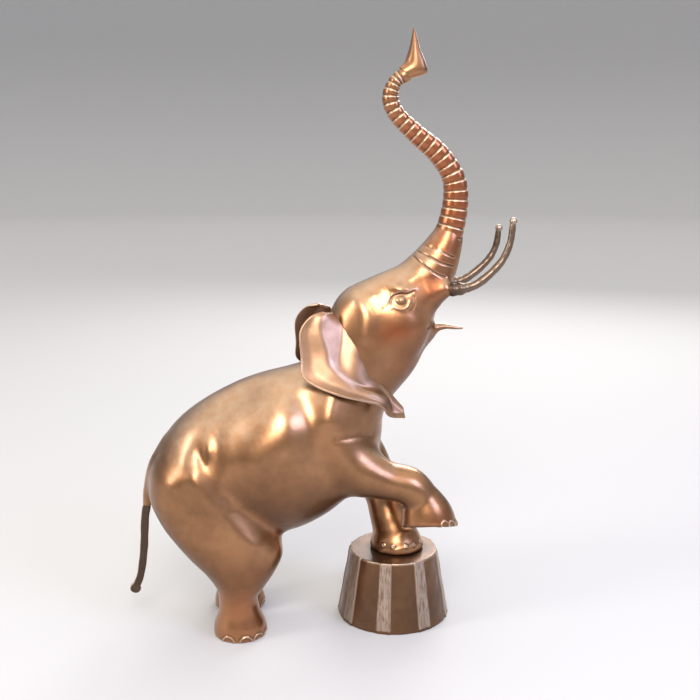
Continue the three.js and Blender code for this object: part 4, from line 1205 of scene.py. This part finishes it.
def make_tub():
    """Radius = the cone's radius, and within a strip that of a chord: (radius + rise) times
    cos(half angle) / cos(angle from the strip's middle)."""
    pitch = 2 * math.pi / STRIP_COUNT
    half = pitch * STRIP_SHARE / 2
    local = np.sort(np.concatenate([
        np.linspace(-half, half, 15),
        [-half - 0.006, half + 0.006],
        np.linspace(half + 0.03, pitch - half - 0.03, 14),
    ]))
    turn = np.concatenate([STRIP_TURN + k * pitch + local for k in range(STRIP_COUNT)])
    from_strip = np.tile(local, STRIP_COUNT)
    in_strip = np.abs(from_strip) <= half + 1e-6
    z, radius = (values[:, None] for values in tub_profile().T)
    outer = radius > TUB_TOP_RADIUS - 0.0018
    chord = (radius + STRIP_RISE) * math.cos(half) / np.cos(np.where(in_strip, from_strip, 0))
    reach = np.where(in_strip & outer, chord, radius + 0 * turn)
    wear = 0.00012 * np.sin(7 * turn + 210 * z) + 0.00008 * np.sin(19 * turn - 330 * z)
    reach = reach + outer * wear
    x = TUB_MIDDLE[0] + reach * np.cos(turn)
    y = TUB_MIDDLE[1] + reach * np.sin(turn)
    piece = tube_piece("tub_drum", np.stack([x, y, z + 0 * turn], -1))
    on_wall = (z > 0.0015) & (z < TUB_HEIGHT - 0.0008)
    edge = bell(np.abs(from_strip), half, 0.012) * on_wall
    rim = bell(z, TUB_HEIGHT - 0.0006, 0.0007) * (radius > TUB_TOP_RADIUS - 0.0012)
    from_ring = np.hypot(x - TUB_MIDDLE[0] - 0.003, y - TUB_MIDDLE[1])
    ring = 0.4 + 0.7 * bell(from_ring, 0.0215, 0.0035)
    paint_tube(piece, "ground", (on_wall & in_strip).astype(float))
    paint_tube(piece, "rubbed_and_lit", np.clip(0.55 * edge + 0.7 * rim, 0, 1))
    paint_tube(piece, "hollow", np.where(z >= TUB_HEIGHT - 1e-6, ring, 0))
    return piece


tub = make_tub()


# %% [markdown]
# ## Wear, painted light and painted shade of the body
# Where the polishing wheel could reach, the bronze is light; in creases it stays dark. How
# much a place bulges or hollows can be read from the field: the mean of the field at six
# places around a point, less its own value, is positive on a ridge and negative in a groove.
# On top of that, the upward-facing back is lightened, partly as painted light from above and
# partly as worn metal, and the downward-facing undersides are darkened as painted shade.

# %% Masks of the body
# Reddish patches: middle x, z, the two half widths, the pitch and the strength.
BLOOMS = [
    ((7.0, 51.6), (3.6, 2.1), 12, 0.95),
    ((13.0, 58.8), (2.8, 2.0), 60, 0.85),
    ((15.6, 65.5), (3.0, 4.0), 0, 0.6),
    ((9.5, 47.0), (3.0, 5.0), -30, 0.5),
    ((13.5, 19.5), (4.0, 3.0), 0, 0.45),
    ((-19.0, 5.0), (5.0, 7.0), 0, 0.35),
]


def bulging(points, reach):
    """Mean curvature times a constant: the sum of the field's second differences."""
    total = np.zeros(len(points))
    for k in range(3):
        move = np.zeros(3)
        move[k] = reach
        total += cast_body(points + move) + cast_body(points - move)
    return (total - 6 * cast_body(points)) / reach**2


small = bulging(body_points, 0.25)
large = bulging(body_points, 1.1)
upward = slope_of(cast_body, body_points)
upward = upward[:, 2] / (np.linalg.norm(upward, axis=1) + 1e-9)
height = body_points[:, 2]
ridges = np.clip(0.25 * (small - large - 0.3), 0, 0.4)
# Painted light: upward-facing places of the back are lightened, partly for the light from above and
# partly as worn metal.
lit_and_worn_top = 0.42 * ramp(upward, 0.1, 0.8) * ramp(height, 24.0, 34.0)
creases = np.clip(-0.4 * (small - 0.3 * large) - 0.03, 0, 0.8)
# Painted shade: downward-facing places of the belly and legs are darkened, from a little above the
# floor upward.
underside = 0.8 * ramp(-upward, -0.3, 0.7) * ramp(height, 4.0, 12.0)
paint(body, "rubbed_and_lit", np.maximum.reduce([ridges, 0.75 * nail_arches(body_points), lit_and_worn_top]))
# The hollow mask holds the patina of the creases and the painted shade of the undersides.
paint(body, "hollow", np.maximum(creases, underside))
paint(body, "bloom", np.maximum.reduce([
    strength * spot_weight(body_points, centre, radii, pitch)
    for centre, radii, pitch, strength in BLOOMS
]))
print("mean wear of ridges", ridges.mean().round(3), "and of creases", creases.mean().round(3))


# %% [markdown]
# ## Finishes
# All four finishes are bronze, so they share one node group. It mixes a light and a dark tone
# in soft patches, darkens the hollows and the places of painted shade, brightens what is worn
# and the places of painted light, and makes a fine cast grain for the bump. What differs from
# finish to finish is only the values given to it.

# %% Shared group for aged metal
def feed(tree, socket, given):
    """Links a socket to another, or sets it to a constant."""
    if isinstance(given, bpy.types.NodeSocket):
        tree.links.new(given, socket)
    else:
        socket.default_value = given


def mix_colours(tree, share, a, b):
    """a where the share is 0, b where it is 1."""
    mix = tree.nodes.new("ShaderNodeMix")
    mix.data_type = "RGBA"
    for socket, given in ((mix.inputs[0], share), (mix.inputs[6], a), (mix.inputs[7], b)):
        feed(tree, socket, given)
    return mix.outputs[2]


def sum_of(tree, terms, low=0.0, high=1.0):
    """The sum of value times factor over the terms, held between low and high."""
    total = 0.0
    for value, factor in terms:
        node = tree.nodes.new("ShaderNodeMath")
        node.operation = "MULTIPLY_ADD"
        for socket, given in zip(node.inputs, (value, factor, total)):
            feed(tree, socket, given)
        total = node.outputs[0]
    clamp = tree.nodes.new("ShaderNodeClamp")
    clamp.inputs["Min"].default_value = low
    clamp.inputs["Max"].default_value = high
    tree.links.new(total, clamp.inputs["Value"])
    return clamp.outputs[0]


def noise(tree, vector, scale, detail, rough=0.55, stretch=(1, 1, 1)):
    """Cloudy noise of a given fineness, drawn out along the axes whose stretch is small."""
    mapping = tree.nodes.new("ShaderNodeMapping")
    mapping.inputs["Scale"].default_value = stretch
    tree.links.new(vector, mapping.inputs["Vector"])
    node = tree.nodes.new("ShaderNodeTexNoise")
    node.inputs["Scale"].default_value = scale
    node.inputs["Detail"].default_value = detail
    node.inputs["Roughness"].default_value = rough
    tree.links.new(mapping.outputs["Vector"], node.inputs["Vector"])
    return node.outputs["Fac"]


# Each socket of the group is its name, its kind and its first value.
METAL_INPUTS = [
    ("Vector", "NodeSocketVector", (0, 0, 0)),
    ("Light tone", "NodeSocketColor", (0.6, 0.33, 0.16, 1)),
    ("Dark tone", "NodeSocketColor", (0.24, 0.11, 0.05, 1)),
    ("Bright tone", "NodeSocketColor", (0.9, 0.7, 0.5, 1)),
    ("Red tone", "NodeSocketColor", (0.62, 0.2, 0.08, 1)),
    ("Patches", "NodeSocketFloat", 0.5),
    # The rubbed input brightens worn places and painted light; the hollow input darkens patina in
    # creases and painted shade.
    ("Rubbed_and_lit", "NodeSocketFloat", 0.0),
    ("Hollow", "NodeSocketFloat", 0.0),
    ("Bloom", "NodeSocketFloat", 0.0),
    ("Roughness", "NodeSocketFloat", 0.32),
]
METAL_OUTPUTS = [
    ("Colour", "NodeSocketColor"),
    ("Roughness", "NodeSocketFloat"),
    ("Height", "NodeSocketFloat"),
]


def make_aged_metal():
    """The tones are laid over each other in turn: patches, red bloom, dark hollows with painted
    shade, and last the bright worn places with painted light."""
    group = bpy.data.node_groups.new("aged_metal", "ShaderNodeTree")
    for name, kind, value in METAL_INPUTS:
        group.interface.new_socket(name=name, in_out="INPUT", socket_type=kind).default_value = value
    for name, kind in METAL_OUTPUTS:
        group.interface.new_socket(name=name, in_out="OUTPUT", socket_type=kind)
    given = group.nodes.new("NodeGroupInput").outputs
    result = group.nodes.new("NodeGroupOutput").inputs
    clouds = noise(group, given["Vector"], 17, 4)
    mottle = noise(group, given["Vector"], 95, 4, 0.62)
    grain = noise(group, given["Vector"], 1500, 2)
    pits = noise(group, given["Vector"], 420, 3)
    patch = sum_of(group, [(clouds, 3.2), (mottle, 1.1), (1.0, -1.75)])
    patch = sum_of(group, [(patch, given["Patches"])])
    colour = mix_colours(group, patch, given["Light tone"], given["Dark tone"])
    colour = mix_colours(group, given["Bloom"], colour, given["Red tone"])
    deep = sum_of(group, [(given["Hollow"], 1.25), (mottle, 0.25), (1.0, -0.12)])
    deep = sum_of(group, [(deep, 0.9), (given["Rubbed_and_lit"], -0.5)])
    colour = mix_colours(group, deep, colour, given["Dark tone"])
    bright = sum_of(group, [(given["Rubbed_and_lit"], 1.5), (mottle, 0.8), (1.0, -0.62)])
    colour = mix_colours(group, bright, colour, given["Bright tone"])
    uneven = [(clouds, 0.16), (mottle, 0.14), (given["Hollow"], 0.2), (1.0, -0.15)]
    rough = sum_of(group, [(given["Roughness"], 1.0), *uneven], 0.12, 0.9)
    height = sum_of(group, [(grain, 0.35), (pits, 0.45), (mottle, 0.2)], 0, 2)
    for name, value in (("Colour", colour), ("Roughness", rough), ("Height", height)):
        group.links.new(value, result[name])
    return group


aged_metal = make_aged_metal()


# %% Finishes
RED = (0.38, 0.105, 0.036)
BODY_MASKS = ("rubbed_and_lit", "hollow", "bloom")
SHEET_MASKS = ("rubbed_and_lit", "hollow")
COAT_WEIGHT = 0.45
COAT_ROUGHNESS = 0.22
# The scratches of the coarse belt on the tub's strips.
SCRATCH_STRETCH = (800, 800, 14)
SCRATCH_TONE = (0.40, 0.31, 0.245, 1)
SCRATCH_DEPTH = 2.2


def finish(name, light, dark, bright, patches, roughness, bump, masks):
    """A metal of the shared group with its own tones, and its bump in metres. Where there is a
    ground mask, scratches along the height show where it is 1."""
    material = bpy.data.materials.new(name)
    material.use_nodes = True
    tree = material.node_tree
    nodes, links = tree.nodes, tree.links
    shader = nodes["Principled BSDF"]
    place = nodes.new("ShaderNodeTexCoord").outputs["Object"]
    metal = nodes.new("ShaderNodeGroup")
    metal.node_tree = aged_metal
    links.new(place, metal.inputs["Vector"])
    tones = {"Light tone": light, "Dark tone": dark, "Bright tone": bright, "Red tone": RED}
    for socket, tone in tones.items():
        metal.inputs[socket].default_value = (*tone, 1)
    metal.inputs["Patches"].default_value = patches
    metal.inputs["Roughness"].default_value = roughness
    read = {}
    for mask in masks:
        node = nodes.new("ShaderNodeAttribute")
        node.attribute_name = mask
        read[mask] = node.outputs["Fac"]
        if mask != "ground":
            links.new(read[mask], metal.inputs[mask.capitalize()])
    colour, rough, height = (metal.outputs[n] for n in ("Colour", "Roughness", "Height"))
    if "ground" in read:
        lines = noise(tree, place, 1.0, 3, 0.6, SCRATCH_STRETCH)
        share = sum_of(tree, [(read["ground"], 1.5), (lines, 3.2), (1.0, -2.3)])
        share = sum_of(tree, [(share, read["ground"])])
        colour = mix_colours(tree, share, colour, SCRATCH_TONE)
        rough = sum_of(tree, [(rough, 1.0), (share, 0.2)], 0.1, 0.9)
        height = sum_of(tree, [(height, 1.0), (lines, SCRATCH_DEPTH)], 0, 3)
    bumps = nodes.new("ShaderNodeBump")
    bumps.inputs["Strength"].default_value = 1.0
    bumps.inputs["Distance"].default_value = bump
    links.new(height, bumps.inputs["Height"])
    given = {
        "Metallic": 1.0,
        "Coat Weight": COAT_WEIGHT,
        "Coat Roughness": COAT_ROUGHNESS,
        "Base Color": colour,
        "Roughness": rough,
        "Normal": bumps.outputs["Normal"],
    }
    for socket, value in given.items():
        feed(tree, shader.inputs[socket], value)
    return material


bronze = finish("bronze", (0.41, 0.202, 0.092), (0.155, 0.070, 0.030), (0.66, 0.49, 0.34),
                0.65, 0.32, 0.00004, BODY_MASKS)
ear_bronze = finish("ear_bronze", (0.37, 0.21, 0.12), (0.13, 0.066, 0.038), (0.72, 0.56, 0.42),
                    0.6, 0.38, 0.00004, SHEET_MASKS)
rod_bronze = finish("brazing_rod", (0.21, 0.142, 0.098), (0.07, 0.04, 0.025), (0.55, 0.43, 0.33),
                    0.75, 0.36, 0.00008, SHEET_MASKS)
tub_bronze = finish("tub_bronze", (0.20, 0.092, 0.040), (0.085, 0.042, 0.021), (0.50, 0.38, 0.28),
                    0.75, 0.40, 0.00006, (*SHEET_MASKS, "ground"))
print("4 finishes from one group with", len(METAL_INPUTS), "inputs")


# %% Give the pieces their finishes
# Each is a piece, its material, the slot of the record that it stands for, and the plain node
# that it replaces. The trunk belongs to the same plain node as the body.
PIECES = [
    (body, bronze, "bronze", "elephant"),
    (trunk, bronze, "bronze", None),
    (ear_right, ear_bronze, "ear_bronze", "ear_right"),
    (ear_left, ear_bronze, "ear_bronze", "ear_left"),
    (tusk_right, rod_bronze, "brazing_rod", "tusk_right"),
    (tusk_left, rod_bronze, "brazing_rod", "tusk_left"),
    (tail, rod_bronze, "brazing_rod", "tail"),
    (tub, tub_bronze, "tub_bronze", "tub"),
]
for piece, material, slot_name, node_name in PIECES:
    piece.data.materials.append(material)
    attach(piece, "root")
    if node_name:
        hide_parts(node_name)
print(len(PIECES), "pieces")

pale = bpy.data.materials.new("pale_floor")
pale.use_nodes = True
pale_inputs = pale.node_tree.nodes["Principled BSDF"].inputs
pale_inputs["Base Color"].default_value = (0.46, 0.46, 0.47, 1)
pale_inputs["Roughness"].default_value = 0.8
floor.data.materials.append(pale)


# %% Measure and finish
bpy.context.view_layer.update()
print("made in", round(time.perf_counter() - clock, 1), "s")
